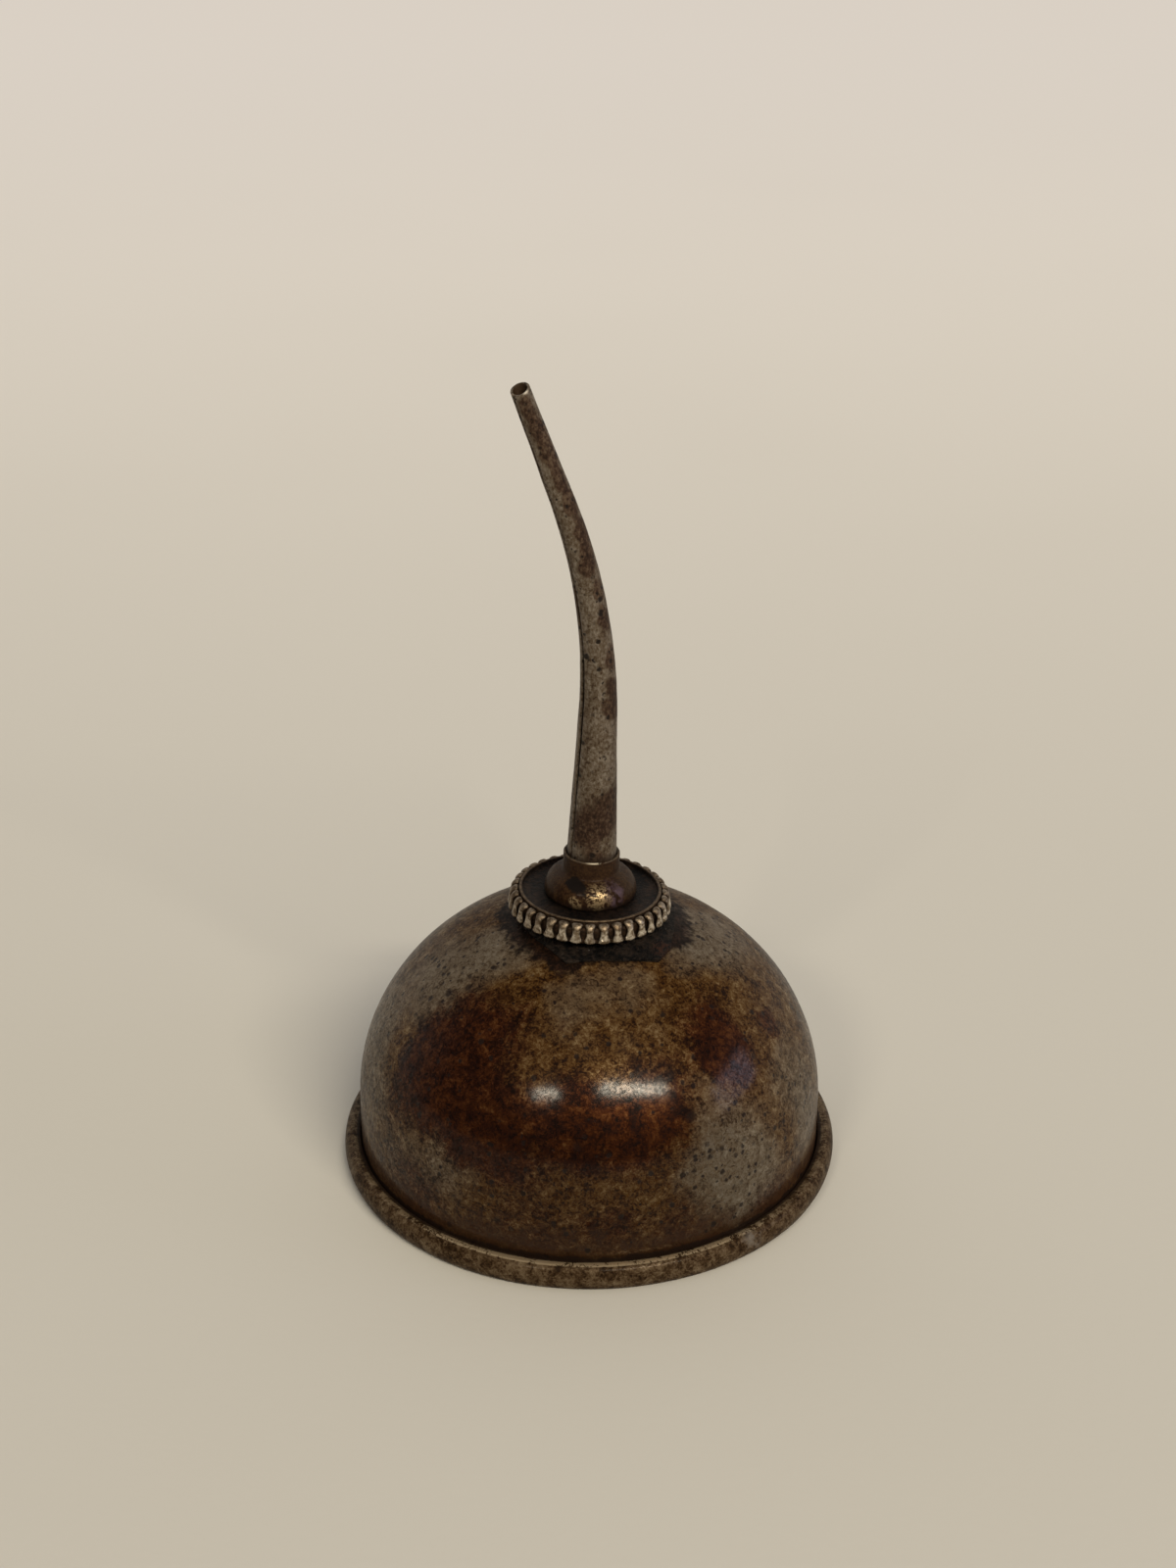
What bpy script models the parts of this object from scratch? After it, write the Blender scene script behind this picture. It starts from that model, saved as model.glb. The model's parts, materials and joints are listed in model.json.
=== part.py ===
# Push-bottom oil can: a domed shell on a rolled bead, a spring bottom, and a ribbed screw cap that
# carries a bent, rolled spout. Metres, +Z up, origin on the table under the middle of the bead.
import math

import bmesh
import bpy
from mathutils import Vector

MM = 0.001

# The domed shell, drawn from one sheet, with its foot rolled outwards into a bead
SHEET = 0.5 * MM
SKIRT_RADIUS = 23.25 * MM
SKIRT_HEIGHT = 6.9 * MM
CROWN_HEIGHT = 20.9 * MM
BEAD_REACH = 1.75 * MM
BEAD_HEIGHT = 2.7 * MM
BEAD_LAND = 0.5 * MM
BEAD_MOUTH = 0.2 * MM
BEAD_DROOP = 0.15 * MM

# The spring bottom, a thin pan with its flange turned up inside the skirt
BOTTOM_SHEET = 0.35 * MM
BOTTOM_RECESS = 1.9 * MM
BOTTOM_BULGE = 0.8 * MM
FLANGE_HEIGHT = 3.0 * MM
FLANGE_CORNER = 0.8 * MM
RIPPLE_COUNT = 2
RIPPLE_START = 8.5 * MM
RIPPLE_WIDTH = 3.2 * MM
RIPPLE_PITCH = 5.5 * MM
RIPPLE_DEPTH = 0.4 * MM

# The neck: its axis leans a little towards +X, and all that is turned on it leans with it
NECK_LEAN = math.radians(2.2)
THREAD_RADIUS = 5.6 * MM
THREAD_PITCH = 1.0 * MM
THREAD_TURNS = 4.5
BUSH_WALL = 1.0 * MM
BUSH_FLANGE = 1.4 * MM
BUSH_FLANGE_THICKNESS = 0.9 * MM
BUSH_LEAD = 0.6 * MM
EDGE_BREAK = 0.25 * MM

# The washer, cut by hand from leather: the corners of its outline as degrees and share of its radius
WASHER_SHEET = 1.0 * MM
SQUEEZED_SHEET = 0.5 * MM
WASHER_RADIUS = 9.3 * MM
WASHER_CORNERS = [
    (5, 1.03),
    (40, 0.99),
    (80, 0.97),
    (115, 1.0),
    (150, 1.05),
    (195, 0.9),
    (231, 0.925),
    (256, 1.11),
    (273, 0.99),
    (290, 1.02),
    (312, 1.13),
    (346, 1.085),
]

# The screw cap: a ribbed, rounded edge around a sunk floor, and a hollow stem that takes the thread
CAP_RADIUS = 7.9 * MM
CAP_HEIGHT = 2.1 * MM
CAP_ROUNDING = 0.85 * MM
RIB_BAND = 0.95 * MM
LIP_WIDTH = 0.3 * MM
LIP_STEP = 0.1 * MM
RECESS_DEPTH = 0.5 * MM
CAP_FLOOR = 0.6 * MM
CAP_UNDERCUT = 0.15 * MM
STEM_WALL = 1.4 * MM
RIB_COUNT = 36
RIB_DEPTH = 0.5 * MM
RIB_FOOT = 0.35 * MM
RIB_CREST_SHARPNESS = 1.6
RIB_FOOT_SHARE = 0.5

# The bell-shaped ferrule that stands on the cap and holds the spout in its collar
BELL_RADIUS = 4.5 * MM
BELL_FOOT = 0.35 * MM
BELL_HEIGHT = 2.7 * MM
BELL_FILLET = 0.45 * MM
BELL_NECK_STEP = 0.16 * MM
COLLAR_HEIGHT = 1.6 * MM
COLLAR_WALL = 0.24 * MM
SPIGOT_RADIUS = 3.2 * MM
OIL_WAY_RADIUS = 1.8 * MM

# The spout, a tapered blank rolled round into a tube, its seam left a little open
SPOUT_FOOT_RADIUS = 2.42 * MM
SPOUT_TIP_RADIUS = 0.93 * MM
SPOUT_WALL = 0.33 * MM
SPOUT_SOCKET = 1.3 * MM
SPOUT_STRAIGHT = 14.7 * MM
SPOUT_BEND_RADIUS = 56.0 * MM
SPOUT_BEND = math.radians(22)
SPOUT_END = 11.2 * MM
SPOUT_FLARE = 1.33
SEAM_GAP = 0.16 * MM
SEAM_BULGE = 0.14 * MM
SEAM_BULGE_REACH = 0.7
SEAM_TURN = math.radians(35)

# Clearances
SEAT_GAP = 0.15 * MM
RUN_GAP = 0.1 * MM
SOLDER_GAP = 0.08 * MM

# How finely round things are drawn
BODY_STEPS = 44
CROWN_ROWS = 11
ROLL_ROWS = 4
BOTTOM_STEPS = 36
FLANGE_CORNER_ROWS = 4
NECK_STEPS = 32
BELL_ROWS = 7
WASHER_STEPS = 44
WASHER_ROWS = 5
POINTS_PER_RIB = 4
RIB_ROWS = 3
RIB_TOP_ANGLE = 84
SPOUT_STEPS = 16
SPOUT_ROWS = 18
FULL_CIRCLE = 360


def clear_scene():
    for old in list(bpy.data.objects):
        bpy.data.objects.remove(old, do_unlink=True)


def new_collection(name):
    made = bpy.data.collections.new(name)
    bpy.context.scene.collection.children.link(made)
    return made


def metal(name, colour, roughness, metallic=1.0):
    made = bpy.data.materials.new(name)
    made.use_nodes = True
    shader = made.node_tree.nodes["Principled BSDF"]
    shader.inputs["Base Color"].default_value = (*colour, 1.0)
    shader.inputs["Roughness"].default_value = roughness
    shader.inputs["Metallic"].default_value = metallic
    return made


def add_object(name, mesh, collection, material, parent=None):
    made = bpy.data.objects.new(name, mesh)
    collection.objects.link(made)
    mesh.materials.append(material)
    made.parent = parent
    return made


def profile_mesh(name, points, closed):
    """A line of (radius, height) points in the XZ plane, ready to be turned about Z."""
    count = len(points)
    edges = [(i, (i + 1) % count) for i in range(count if closed else count - 1)]
    mesh = bpy.data.meshes.new(name)
    mesh.from_pydata([(radius, 0.0, height) for radius, height in points], edges, [])
    return mesh


def turned(name, points, steps, closed, collection, material, parent=None):
    """A piece turned about its own Z from a profile."""
    made = add_object(name, profile_mesh(name, points, closed), collection, material, parent)
    screw = made.modifiers.new("Turn", "SCREW")
    screw.angle = math.tau
    screw.steps = steps
    screw.render_steps = steps
    screw.use_merge_vertices = True
    screw.merge_threshold = 0.00001
    screw.use_smooth_shade = True
    return made


def thicken(made, thickness, offset=0.0):
    solidify = made.modifiers.new("Sheet", "SOLIDIFY")
    solidify.thickness = thickness
    solidify.offset = offset
    solidify.use_even_offset = True
    return solidify


def arc(centre_radius, centre_height, across, along, start, end, count):
    """Points on an ellipse in the profile plane, from one angle to another in degrees."""
    points = []
    for i in range(count + 1):
        angle = math.radians(start + (end - start) * i / count)
        points.append(
            (
                centre_radius + across * math.cos(angle),
                centre_height + along * math.sin(angle),
            )
        )
    return points


# Sizes that follow from the ones above

HALF_SHEET = SHEET / 2
SKIRT_MIDDLE = SKIRT_RADIUS - HALF_SHEET
STEM_CLEARANCE_RADIUS = THREAD_RADIUS + RUN_GAP
BUSH_RADIUS = STEM_CLEARANCE_RADIUS + BUSH_WALL
DOME_HOLE_RADIUS = BUSH_RADIUS + SEAT_GAP
WASHER_HOLE_RADIUS = THREAD_RADIUS + SEAT_GAP
CAP_UNDERSIDE = SEAT_GAP + SQUEEZED_SHEET + SEAT_GAP
CAP_TOP = CAP_UNDERSIDE + CAP_HEIGHT
LIP_RADIUS = CAP_RADIUS - RIB_BAND
CAP_FLOOR_TOP = CAP_TOP - RECESS_DEPTH
CAP_FLOOR_UNDERSIDE = CAP_FLOOR_TOP - CAP_FLOOR
FERRULE_BASE = CAP_FLOOR_TOP + SEAT_GAP
COLLAR_BASE = FERRULE_BASE + BELL_HEIGHT
COLLAR_TOP = COLLAR_BASE + COLLAR_HEIGHT
COLLAR_BORE = SPOUT_FOOT_RADIUS + SOLDER_GAP
COLLAR_RADIUS = COLLAR_BORE + COLLAR_WALL


def dome_height(radius, offset):
    """Height of the crown at a radius. Offset 0 is its outer face, and SHEET its inner one."""
    across = SKIRT_RADIUS - offset
    along = CROWN_HEIGHT - offset
    share = min(1.0, radius / across)
    return SKIRT_HEIGHT + along * math.sqrt(1.0 - share * share)


NECK_SEAT = dome_height(BUSH_RADIUS, 0.0)


def dome_in_neck(x, y, offset):
    """Height of the crown above the neck's seat, measured along the neck's leaning axis."""
    sine, cosine = math.sin(NECK_LEAN), math.cos(NECK_LEAN)
    height = 0.0
    for _ in range(6):
        world_x = x * cosine + height * sine
        world_z = dome_height(math.hypot(world_x, y), offset)
        height = (world_z - NECK_SEAT + x * sine) / cosine
    return height


def can_dome(collection, material):
    """The shell: crown, straight skirt, and the sheet rolled out and up into the bead it stands on."""
    crown = []
    across = SKIRT_MIDDLE
    along = CROWN_HEIGHT - HALF_SHEET
    rise = math.acos(DOME_HOLE_RADIUS / across)
    for i in range(CROWN_ROWS + 1):
        angle = rise * (1.0 - i / CROWN_ROWS)
        crown.append((across * math.cos(angle), SKIRT_HEIGHT + along * math.sin(angle)))
    roll_across = (BEAD_REACH - BEAD_LAND) / 2
    roll_along = (BEAD_HEIGHT - SHEET) / 2
    middle = HALF_SHEET + roll_along
    inner = SKIRT_MIDDLE + roll_across
    outer = inner + BEAD_LAND
    roll = arc(inner, middle, roll_across, roll_along, -180, -90, ROLL_ROWS)
    roll += arc(outer, middle, roll_across, roll_along, -90, 90, 2 * ROLL_ROWS)
    edge = (SKIRT_RADIUS + BEAD_MOUTH, middle + roll_along - BEAD_DROOP)
    made = turned("can_dome", crown + roll + [edge], BODY_STEPS, False, collection, material)
    thicken(made, SHEET)


def bottom_height(radius, rim):
    """The disc bulges down towards its middle and has round ripples pressed into it."""
    share = radius / rim
    height = BOTTOM_RECESS - BOTTOM_BULGE * (1.0 - share * share)
    for i in range(RIPPLE_COUNT):
        across = abs(radius - RIPPLE_START - i * RIPPLE_PITCH) / (RIPPLE_WIDTH / 2)
        if across < 1.0:
            height += RIPPLE_DEPTH * (0.5 + 0.5 * math.cos(math.pi * across))
    return height


def spring_bottom(collection, material):
    """A pan of spring sheet: its flange fits inside the skirt, and its disc clicks when pressed."""
    half = BOTTOM_SHEET / 2
    flange = SKIRT_RADIUS - SHEET - SEAT_GAP - half
    disc_rim = flange - FLANGE_CORNER
    corner_height = BOTTOM_RECESS + FLANGE_CORNER
    points = [(flange, BOTTOM_RECESS + FLANGE_HEIGHT)]
    points += arc(disc_rim, corner_height, FLANGE_CORNER, FLANGE_CORNER, 0, -90, FLANGE_CORNER_ROWS)
    radii = []
    for i in reversed(range(RIPPLE_COUNT)):
        middle = RIPPLE_START + i * RIPPLE_PITCH
        radii += [middle + share * RIPPLE_WIDTH for share in (0.5, 0.25, 0.0, -0.25, -0.5)]
    radii.append(radii[-1] / 2)
    points += [(radius, bottom_height(radius, disc_rim)) for radius in radii if radius < disc_rim]
    points.append((0.0, bottom_height(0.0, disc_rim)))
    made = turned("spring_bottom", points, BOTTOM_STEPS, False, collection, material)
    thicken(made, BOTTOM_SHEET)


def threaded_bush(collection, material, neck):
    """The bush that the cap screws into: a spigot in the dome's hole and a flange under the sheet."""
    flange_radius = BUSH_RADIUS + BUSH_FLANGE
    sheet_under = min(dome_in_neck(side * flange_radius, 0.0, SHEET) for side in (-1, 1))
    flange_top = sheet_under - SEAT_GAP
    flange_end = flange_top - BUSH_FLANGE_THICKNESS
    end = min(-THREAD_TURNS * THREAD_PITCH - BUSH_LEAD, flange_end - BUSH_LEAD)
    points = [
        (STEM_CLEARANCE_RADIUS + EDGE_BREAK, 0.0),
        (BUSH_RADIUS, 0.0),
        (BUSH_RADIUS, flange_top),
        (flange_radius, flange_top),
        (flange_radius, flange_end),
        (BUSH_RADIUS, flange_end),
        (BUSH_RADIUS, end),
        (STEM_CLEARANCE_RADIUS, end),
        (STEM_CLEARANCE_RADIUS, -EDGE_BREAK),
    ]
    turned("threaded_bush", points, NECK_STEPS, True, collection, material, neck)


def washer_edge(angle):
    """Radius of the washer's outline at an angle, along the straight cut between two corners."""
    degrees = math.degrees(angle) % FULL_CIRCLE
    first_corner, first_share = WASHER_CORNERS[0]
    corners = WASHER_CORNERS + [(first_corner + FULL_CIRCLE, first_share)]
    if degrees < first_corner:
        degrees += FULL_CIRCLE
    for (start, first), (end, second) in zip(corners, corners[1:]):
        if start <= degrees <= end:
            into = math.radians(degrees - start)
            left = math.radians(end - degrees)
            spread = first * math.sin(into) + second * math.sin(left)
            return WASHER_RADIUS * first * second * math.sin(into + left) / spread
    return WASHER_RADIUS * first_share


def leather_washer(collection, material, neck):
    """A flat ring of leather, cut to a rough outline and draped from the neck over the crown."""
    hole = WASHER_HOLE_RADIUS
    breadth = WASHER_RADIUS - hole
    radii = [hole + breadth * i / WASHER_ROWS for i in range(WASHER_ROWS + 1)]
    mesh = bpy.data.meshes.new("leather_washer")
    form = bmesh.new()
    corners = [form.verts.new((radius, 0.0, 0.0)) for radius in radii]
    edges = [form.edges.new(pair) for pair in zip(corners, corners[1:])]
    bmesh.ops.spin(
        form,
        geom=corners + edges,
        axis=(0, 0, 1),
        cent=(0, 0, 0),
        angle=math.tau,
        steps=WASHER_STEPS,
        use_merge=True,
    )
    top = bmesh.ops.duplicate(form, geom=form.faces[:])["geom"]
    top_verts = {item for item in top if isinstance(item, bmesh.types.BMVert)}
    squeezed_top = CAP_UNDERSIDE - SEAT_GAP
    pressed = CAP_RADIUS + SEAT_GAP
    for vert in form.verts:
        angle = math.atan2(vert.co.y, vert.co.x)
        share = (vert.co.xy.length - hole) / breadth
        radius = hole + share * (washer_edge(angle) - hole)
        x, y = radius * math.cos(angle), radius * math.sin(angle)
        under = dome_in_neck(x, y, 0.0)
        if radius < BUSH_RADIUS + 2 * SEAT_GAP:
            under = max(under, 0.0)
        height = under + SEAT_GAP
        if vert in top_verts:
            free_top = height + WASHER_SHEET
            height = min(free_top, squeezed_top + max(0.0, radius - pressed))
        vert.co = Vector((x, y, height))
    rims = [edge for edge in form.edges if edge.is_boundary]
    inner_rims = [edge for edge in rims if edge_radius(edge) < hole + SEAT_GAP]
    outer_rims = [edge for edge in rims if edge not in inner_rims]
    bmesh.ops.bridge_loops(form, edges=inner_rims)
    bmesh.ops.bridge_loops(form, edges=outer_rims)
    bmesh.ops.recalc_face_normals(form, faces=form.faces)
    form.to_mesh(mesh)
    form.free()
    mesh.shade_smooth()
    mesh.set_sharp_from_angle(angle=math.radians(50))
    add_object("leather_washer", mesh, collection, material, neck)


def edge_radius(edge):
    return (edge.verts[0].co.xy.length + edge.verts[1].co.xy.length) / 2


def ribbed_ring(collection, material, neck):
    """The cap's edge: a turned ring whose rounded shoulder is cut into ribs by grooves."""
    lip_inner = LIP_RADIUS - LIP_WIDTH
    shoulder_top = CAP_TOP - LIP_STEP
    centre_radius = CAP_RADIUS - CAP_ROUNDING
    centre_height = shoulder_top - CAP_ROUNDING
    foot_height = CAP_UNDERSIDE + RIB_FOOT
    points = [(lip_inner, CAP_UNDERSIDE), (lip_inner, CAP_TOP), (LIP_RADIUS, CAP_TOP)]
    points += arc(centre_radius, centre_height, CAP_ROUNDING, CAP_ROUNDING, RIB_TOP_ANGLE, 0, RIB_ROWS)
    points += [(CAP_RADIUS, foot_height), (CAP_RADIUS - EDGE_BREAK, CAP_UNDERSIDE)]
    mesh = bpy.data.meshes.new("ribbed_ring")
    form = bmesh.new()
    corners = [form.verts.new((radius, 0.0, height)) for radius, height in points]
    edges = [form.edges.new((corners[i - 1], corners[i])) for i in range(len(corners))]
    bmesh.ops.spin(
        form,
        geom=corners + edges,
        axis=(0, 0, 1),
        cent=(0, 0, 0),
        angle=math.tau,
        steps=RIB_COUNT * POINTS_PER_RIB,
        use_merge=True,
    )
    for vert in form.verts:
        radius, height = vert.co.xy.length, vert.co.z
        if radius <= centre_radius or height >= CAP_TOP - LIP_STEP / 2:
            continue
        wave = 0.5 - 0.5 * math.cos(RIB_COUNT * math.atan2(vert.co.y, vert.co.x))
        depth = RIB_DEPTH * wave**RIB_CREST_SHARPNESS
        if height <= foot_height:
            depth *= RIB_FOOT_SHARE
        outward = vert.co.xy.normalized()
        way = Vector((radius - centre_radius, max(0.0, height - centre_height))).normalized()
        vert.co -= depth * Vector((outward.x * way.x, outward.y * way.x, way.y))
    bmesh.ops.recalc_face_normals(form, faces=form.faces)
    form.to_mesh(mesh)
    form.free()
    mesh.shade_smooth()
    ring = add_object("ribbed_ring", mesh, collection, material, neck)
    ring.hide_render = True
    ring.display_type = "WIRE"
    return ring


def screw_cap(collection, helpers, material, neck):
    """The cap: its ribbed edge, the sunk floor inside it, and the hollow stem for the thread."""
    ring = ribbed_ring(helpers, material, neck)
    inside = (LIP_RADIUS - LIP_WIDTH + CAP_RADIUS - RIB_DEPTH) / 2
    underside = CAP_UNDERSIDE + CAP_UNDERCUT
    stem_end = -THREAD_TURNS * THREAD_PITCH
    stem_bore = THREAD_RADIUS - STEM_WALL
    hole = SPIGOT_RADIUS + SOLDER_GAP
    points = [
        (hole, CAP_FLOOR_TOP),
        (inside, CAP_FLOOR_TOP),
        (inside, underside),
        (THREAD_RADIUS, underside),
        (THREAD_RADIUS, stem_end + EDGE_BREAK),
        (THREAD_RADIUS - EDGE_BREAK, stem_end),
        (stem_bore, stem_end),
        (stem_bore, CAP_FLOOR_UNDERSIDE),
        (hole, CAP_FLOOR_UNDERSIDE),
    ]
    cap = turned("screw_cap", points, NECK_STEPS, True, collection, material, neck)
    join = cap.modifiers.new("Ribbed edge", "BOOLEAN")
    join.operation = "UNION"
    join.object = ring


def spout_ferrule(collection, material, neck):
    """The bell that carries the spout: a spigot through the cap's floor, a bell and a thin collar."""
    bell_top = COLLAR_BASE - BELL_FILLET
    bell_shoulder = FERRULE_BASE + BELL_FOOT
    bell_neck = COLLAR_RADIUS + BELL_NECK_STEP
    bell_across = BELL_RADIUS - bell_neck
    bell_along = bell_top - bell_shoulder
    socket_floor = COLLAR_TOP - SPOUT_SOCKET - SOLDER_GAP
    points = [(COLLAR_BORE, COLLAR_TOP), (COLLAR_RADIUS, COLLAR_TOP), (COLLAR_RADIUS, COLLAR_BASE)]
    points += arc(bell_neck, bell_shoulder, bell_across, bell_along, 90, 0, BELL_ROWS)
    points += [
        (BELL_RADIUS, FERRULE_BASE),
        (SPIGOT_RADIUS, FERRULE_BASE),
        (SPIGOT_RADIUS, CAP_FLOOR_UNDERSIDE),
        (OIL_WAY_RADIUS, CAP_FLOOR_UNDERSIDE),
        (OIL_WAY_RADIUS, socket_floor),
        (COLLAR_BORE, socket_floor),
    ]
    turned("spout_ferrule", points, NECK_STEPS, True, collection, material, neck)


def spout_point(distance):
    """The spout's middle line: straight out of the collar, one long bend towards -X, straight on."""
    if distance <= SPOUT_STRAIGHT:
        return 0.0, COLLAR_TOP + distance, 0.0
    bend_length = SPOUT_BEND_RADIUS * SPOUT_BEND
    angle = min((distance - SPOUT_STRAIGHT) / SPOUT_BEND_RADIUS, SPOUT_BEND)
    past = max(0.0, distance - SPOUT_STRAIGHT - bend_length)
    x = -SPOUT_BEND_RADIUS * (1.0 - math.cos(angle)) - past * math.sin(angle)
    z = COLLAR_TOP + SPOUT_STRAIGHT + SPOUT_BEND_RADIUS * math.sin(angle) + past * math.cos(angle)
    return x, z, angle


def spout(collection, material, neck):
    """A flat blank bent round the spout's middle line, then given its wall on the inside."""
    length = SPOUT_STRAIGHT + SPOUT_BEND_RADIUS * SPOUT_BEND + SPOUT_END
    foot = -SPOUT_SOCKET
    mesh = bpy.data.meshes.new("spout")
    form = bmesh.new()
    bmesh.ops.create_grid(form, x_segments=SPOUT_STEPS, y_segments=SPOUT_ROWS, size=0.5)
    for vert in form.verts:
        around, up = vert.co.x + 0.5, vert.co.y + 0.5
        distance = foot + up * (length - foot)
        taper = (1.0 - max(0.0, distance) / length) ** SPOUT_FLARE
        radius = SPOUT_TIP_RADIUS + (SPOUT_FOOT_RADIUS - SPOUT_TIP_RADIUS) * taper
        open_share = math.sin(math.pi * min(1.0, max(0.0, distance) / (length * SEAM_BULGE_REACH)))
        half_seam = (SEAM_GAP + SEAM_BULGE * open_share) / 2 / radius
        angle = math.pi + SEAM_TURN + half_seam + around * (math.tau - 2 * half_seam)
        x, z, lean = spout_point(distance)
        out = radius * math.cos(angle)
        vert.co = Vector((x + out * math.cos(lean), radius * math.sin(angle), z + out * math.sin(lean)))
    bmesh.ops.recalc_face_normals(form, faces=form.faces)
    form.normal_update()
    if form.faces[0].normal.dot(form.faces[0].calc_center_median() - Vector((0, 0, COLLAR_TOP))) < 0:
        bmesh.ops.reverse_faces(form, faces=form.faces)
    form.to_mesh(mesh)
    form.free()
    mesh.shade_smooth()
    made = add_object("spout", mesh, collection, material, neck)
    thicken(made, SPOUT_WALL, -1.0)


def main():
    clear_scene()
    oil_can = new_collection("oil_can")
    helpers = new_collection("helpers")
    aged_shell = metal("aged_shell", (0.20, 0.16, 0.11), 0.38)
    spring_steel = metal("spring_steel", (0.24, 0.21, 0.17), 0.45)
    bush_brass = metal("bush_brass", (0.42, 0.31, 0.14), 0.45)
    black_leather = metal("black_leather", (0.02, 0.018, 0.018), 0.7, 0.0)
    worn_cap = metal("worn_cap", (0.33, 0.30, 0.26), 0.38)
    brown_ferrule = metal("brown_ferrule", (0.25, 0.18, 0.11), 0.32)
    dull_spout = metal("dull_spout", (0.19, 0.17, 0.14), 0.42)

    can_dome(oil_can, aged_shell)
    spring_bottom(oil_can, spring_steel)

    neck = bpy.data.objects.new("neck_axis", None)
    oil_can.objects.link(neck)
    neck.location = (0.0, 0.0, NECK_SEAT)
    neck.rotation_euler = (0.0, NECK_LEAN, 0.0)

    threaded_bush(oil_can, bush_brass, neck)
    leather_washer(oil_can, black_leather, neck)
    screw_cap(oil_can, helpers, worn_cap, neck)
    spout_ferrule(oil_can, brown_ferrule, neck)
    spout(oil_can, dull_spout, neck)


main()
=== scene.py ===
import json
import math
import random

import bmesh
import bpy
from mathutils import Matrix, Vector


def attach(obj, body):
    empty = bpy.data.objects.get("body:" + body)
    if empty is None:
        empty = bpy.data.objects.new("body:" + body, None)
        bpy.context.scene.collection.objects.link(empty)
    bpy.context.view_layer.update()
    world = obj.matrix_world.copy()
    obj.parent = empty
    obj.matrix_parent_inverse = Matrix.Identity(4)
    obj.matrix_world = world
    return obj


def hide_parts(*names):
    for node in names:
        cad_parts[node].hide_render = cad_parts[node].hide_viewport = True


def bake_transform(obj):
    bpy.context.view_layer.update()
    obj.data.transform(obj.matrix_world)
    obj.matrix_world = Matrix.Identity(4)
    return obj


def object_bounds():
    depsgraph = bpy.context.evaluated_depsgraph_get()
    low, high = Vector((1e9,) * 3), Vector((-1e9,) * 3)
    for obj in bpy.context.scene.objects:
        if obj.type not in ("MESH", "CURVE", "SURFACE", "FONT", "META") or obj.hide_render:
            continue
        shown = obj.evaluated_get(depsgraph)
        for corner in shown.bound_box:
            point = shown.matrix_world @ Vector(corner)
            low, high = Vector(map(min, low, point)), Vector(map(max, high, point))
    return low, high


# A small push-bottom oil can on paper. Piece sizes are in millimetres, and Blender's units are metres.
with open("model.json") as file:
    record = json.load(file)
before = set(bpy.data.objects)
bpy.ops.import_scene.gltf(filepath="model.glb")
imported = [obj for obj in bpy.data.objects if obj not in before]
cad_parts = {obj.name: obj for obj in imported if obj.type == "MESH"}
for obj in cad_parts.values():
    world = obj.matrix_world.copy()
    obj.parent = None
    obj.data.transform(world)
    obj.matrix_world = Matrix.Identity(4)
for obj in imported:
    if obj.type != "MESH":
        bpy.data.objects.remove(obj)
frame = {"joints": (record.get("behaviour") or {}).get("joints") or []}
cadLow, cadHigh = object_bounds()
mm = 0.001
weldWithin = 0.002 * mm
smoothBelow = math.radians(38)

# the neck's place and lean come from the joint that the cap turns on
joints = {joint["name"]: joint for joint in frame["joints"]}
neckPlace = Vector(joints["cap_turn"]["pos_m"])
neckAxis = Vector(joints["cap_turn"]["axis"])
neckLean = math.atan2(neckAxis.x, neckAxis.z)
seatGap = 0.15
print("frame loaded")


# Modelling helpers

def inMetres(*values):
    return tuple(value * mm for value in values)


def addPrimitive(name, add, **settings):
    bpy.ops.object.select_all(action="DESELECT")
    add(**settings)
    piece = bpy.context.active_object
    piece.name = name
    piece.data.name = name
    return piece


def applyModifier(piece, kind, **settings):
    bpy.context.view_layer.objects.active = piece
    modifier = piece.modifiers.new(kind.title(), kind)
    for key, value in settings.items():
        setattr(modifier, key, value)
    bpy.ops.object.modifier_apply(modifier=modifier.name)


def startEdit():
    bpy.ops.object.mode_set(mode="EDIT")
    bpy.ops.mesh.select_all(action="SELECT")


def endEdit():
    bpy.ops.object.mode_set(mode="OBJECT")


def selectWhere(piece, kind, test):  # in edit mode; kind is verts, edges or faces
    bpy.ops.mesh.select_all(action="DESELECT")
    form = bmesh.from_edit_mesh(piece.data)
    for element in getattr(form, kind):
        if test(element):
            element.select_set(True)
    bmesh.update_edit_mesh(piece.data)


def weld():  # in edit mode: one skin with its faces outwards
    bpy.ops.mesh.select_all(action="SELECT")
    bpy.ops.mesh.remove_doubles(threshold=weldWithin)
    bpy.ops.mesh.normals_make_consistent(inside=False)


def arcPoints(centreRadius, centreHeight, across, along, start, end, count):
    angles = [math.radians(start + (end - start) * i / count) for i in range(count + 1)]
    return [(centreRadius + across * math.cos(a), centreHeight + along * math.sin(a)) for a in angles]


def spinSection(name, points, steps, closed=False):  # points are radius and height
    piece = addPrimitive(name, bpy.ops.mesh.primitive_plane_add, size=mm)
    startEdit()
    bpy.ops.mesh.select_mode(type="VERT")
    bpy.ops.mesh.merge(type="CENTER")
    bpy.ops.transform.translate(value=inMetres(points[0][0], 0, points[0][1]))
    line = points + points[:1] if closed else points
    for (radius, height), (nextRadius, nextHeight) in zip(line, line[1:]):
        step = inMetres(nextRadius - radius, 0, nextHeight - height)
        bpy.ops.mesh.extrude_region_move(TRANSFORM_OT_translate={"value": step})
    bpy.ops.mesh.select_all(action="SELECT")
    bpy.ops.mesh.spin(steps=steps, angle=math.tau, center=(0, 0, 0), axis=(0, 0, 1))
    weld()
    endEdit()
    return piece


def roughen(piece, size, depth):  # slow waves over a sheet, as hand work and knocks leave them
    waves = bpy.data.textures.new(piece.name + "Waves", "CLOUDS")
    waves.noise_scale = size * mm
    settings = {"texture_coords": "LOCAL", "strength": depth * mm, "mid_level": 0.5}
    applyModifier(piece, "DISPLACE", texture=waves, **settings)


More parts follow.
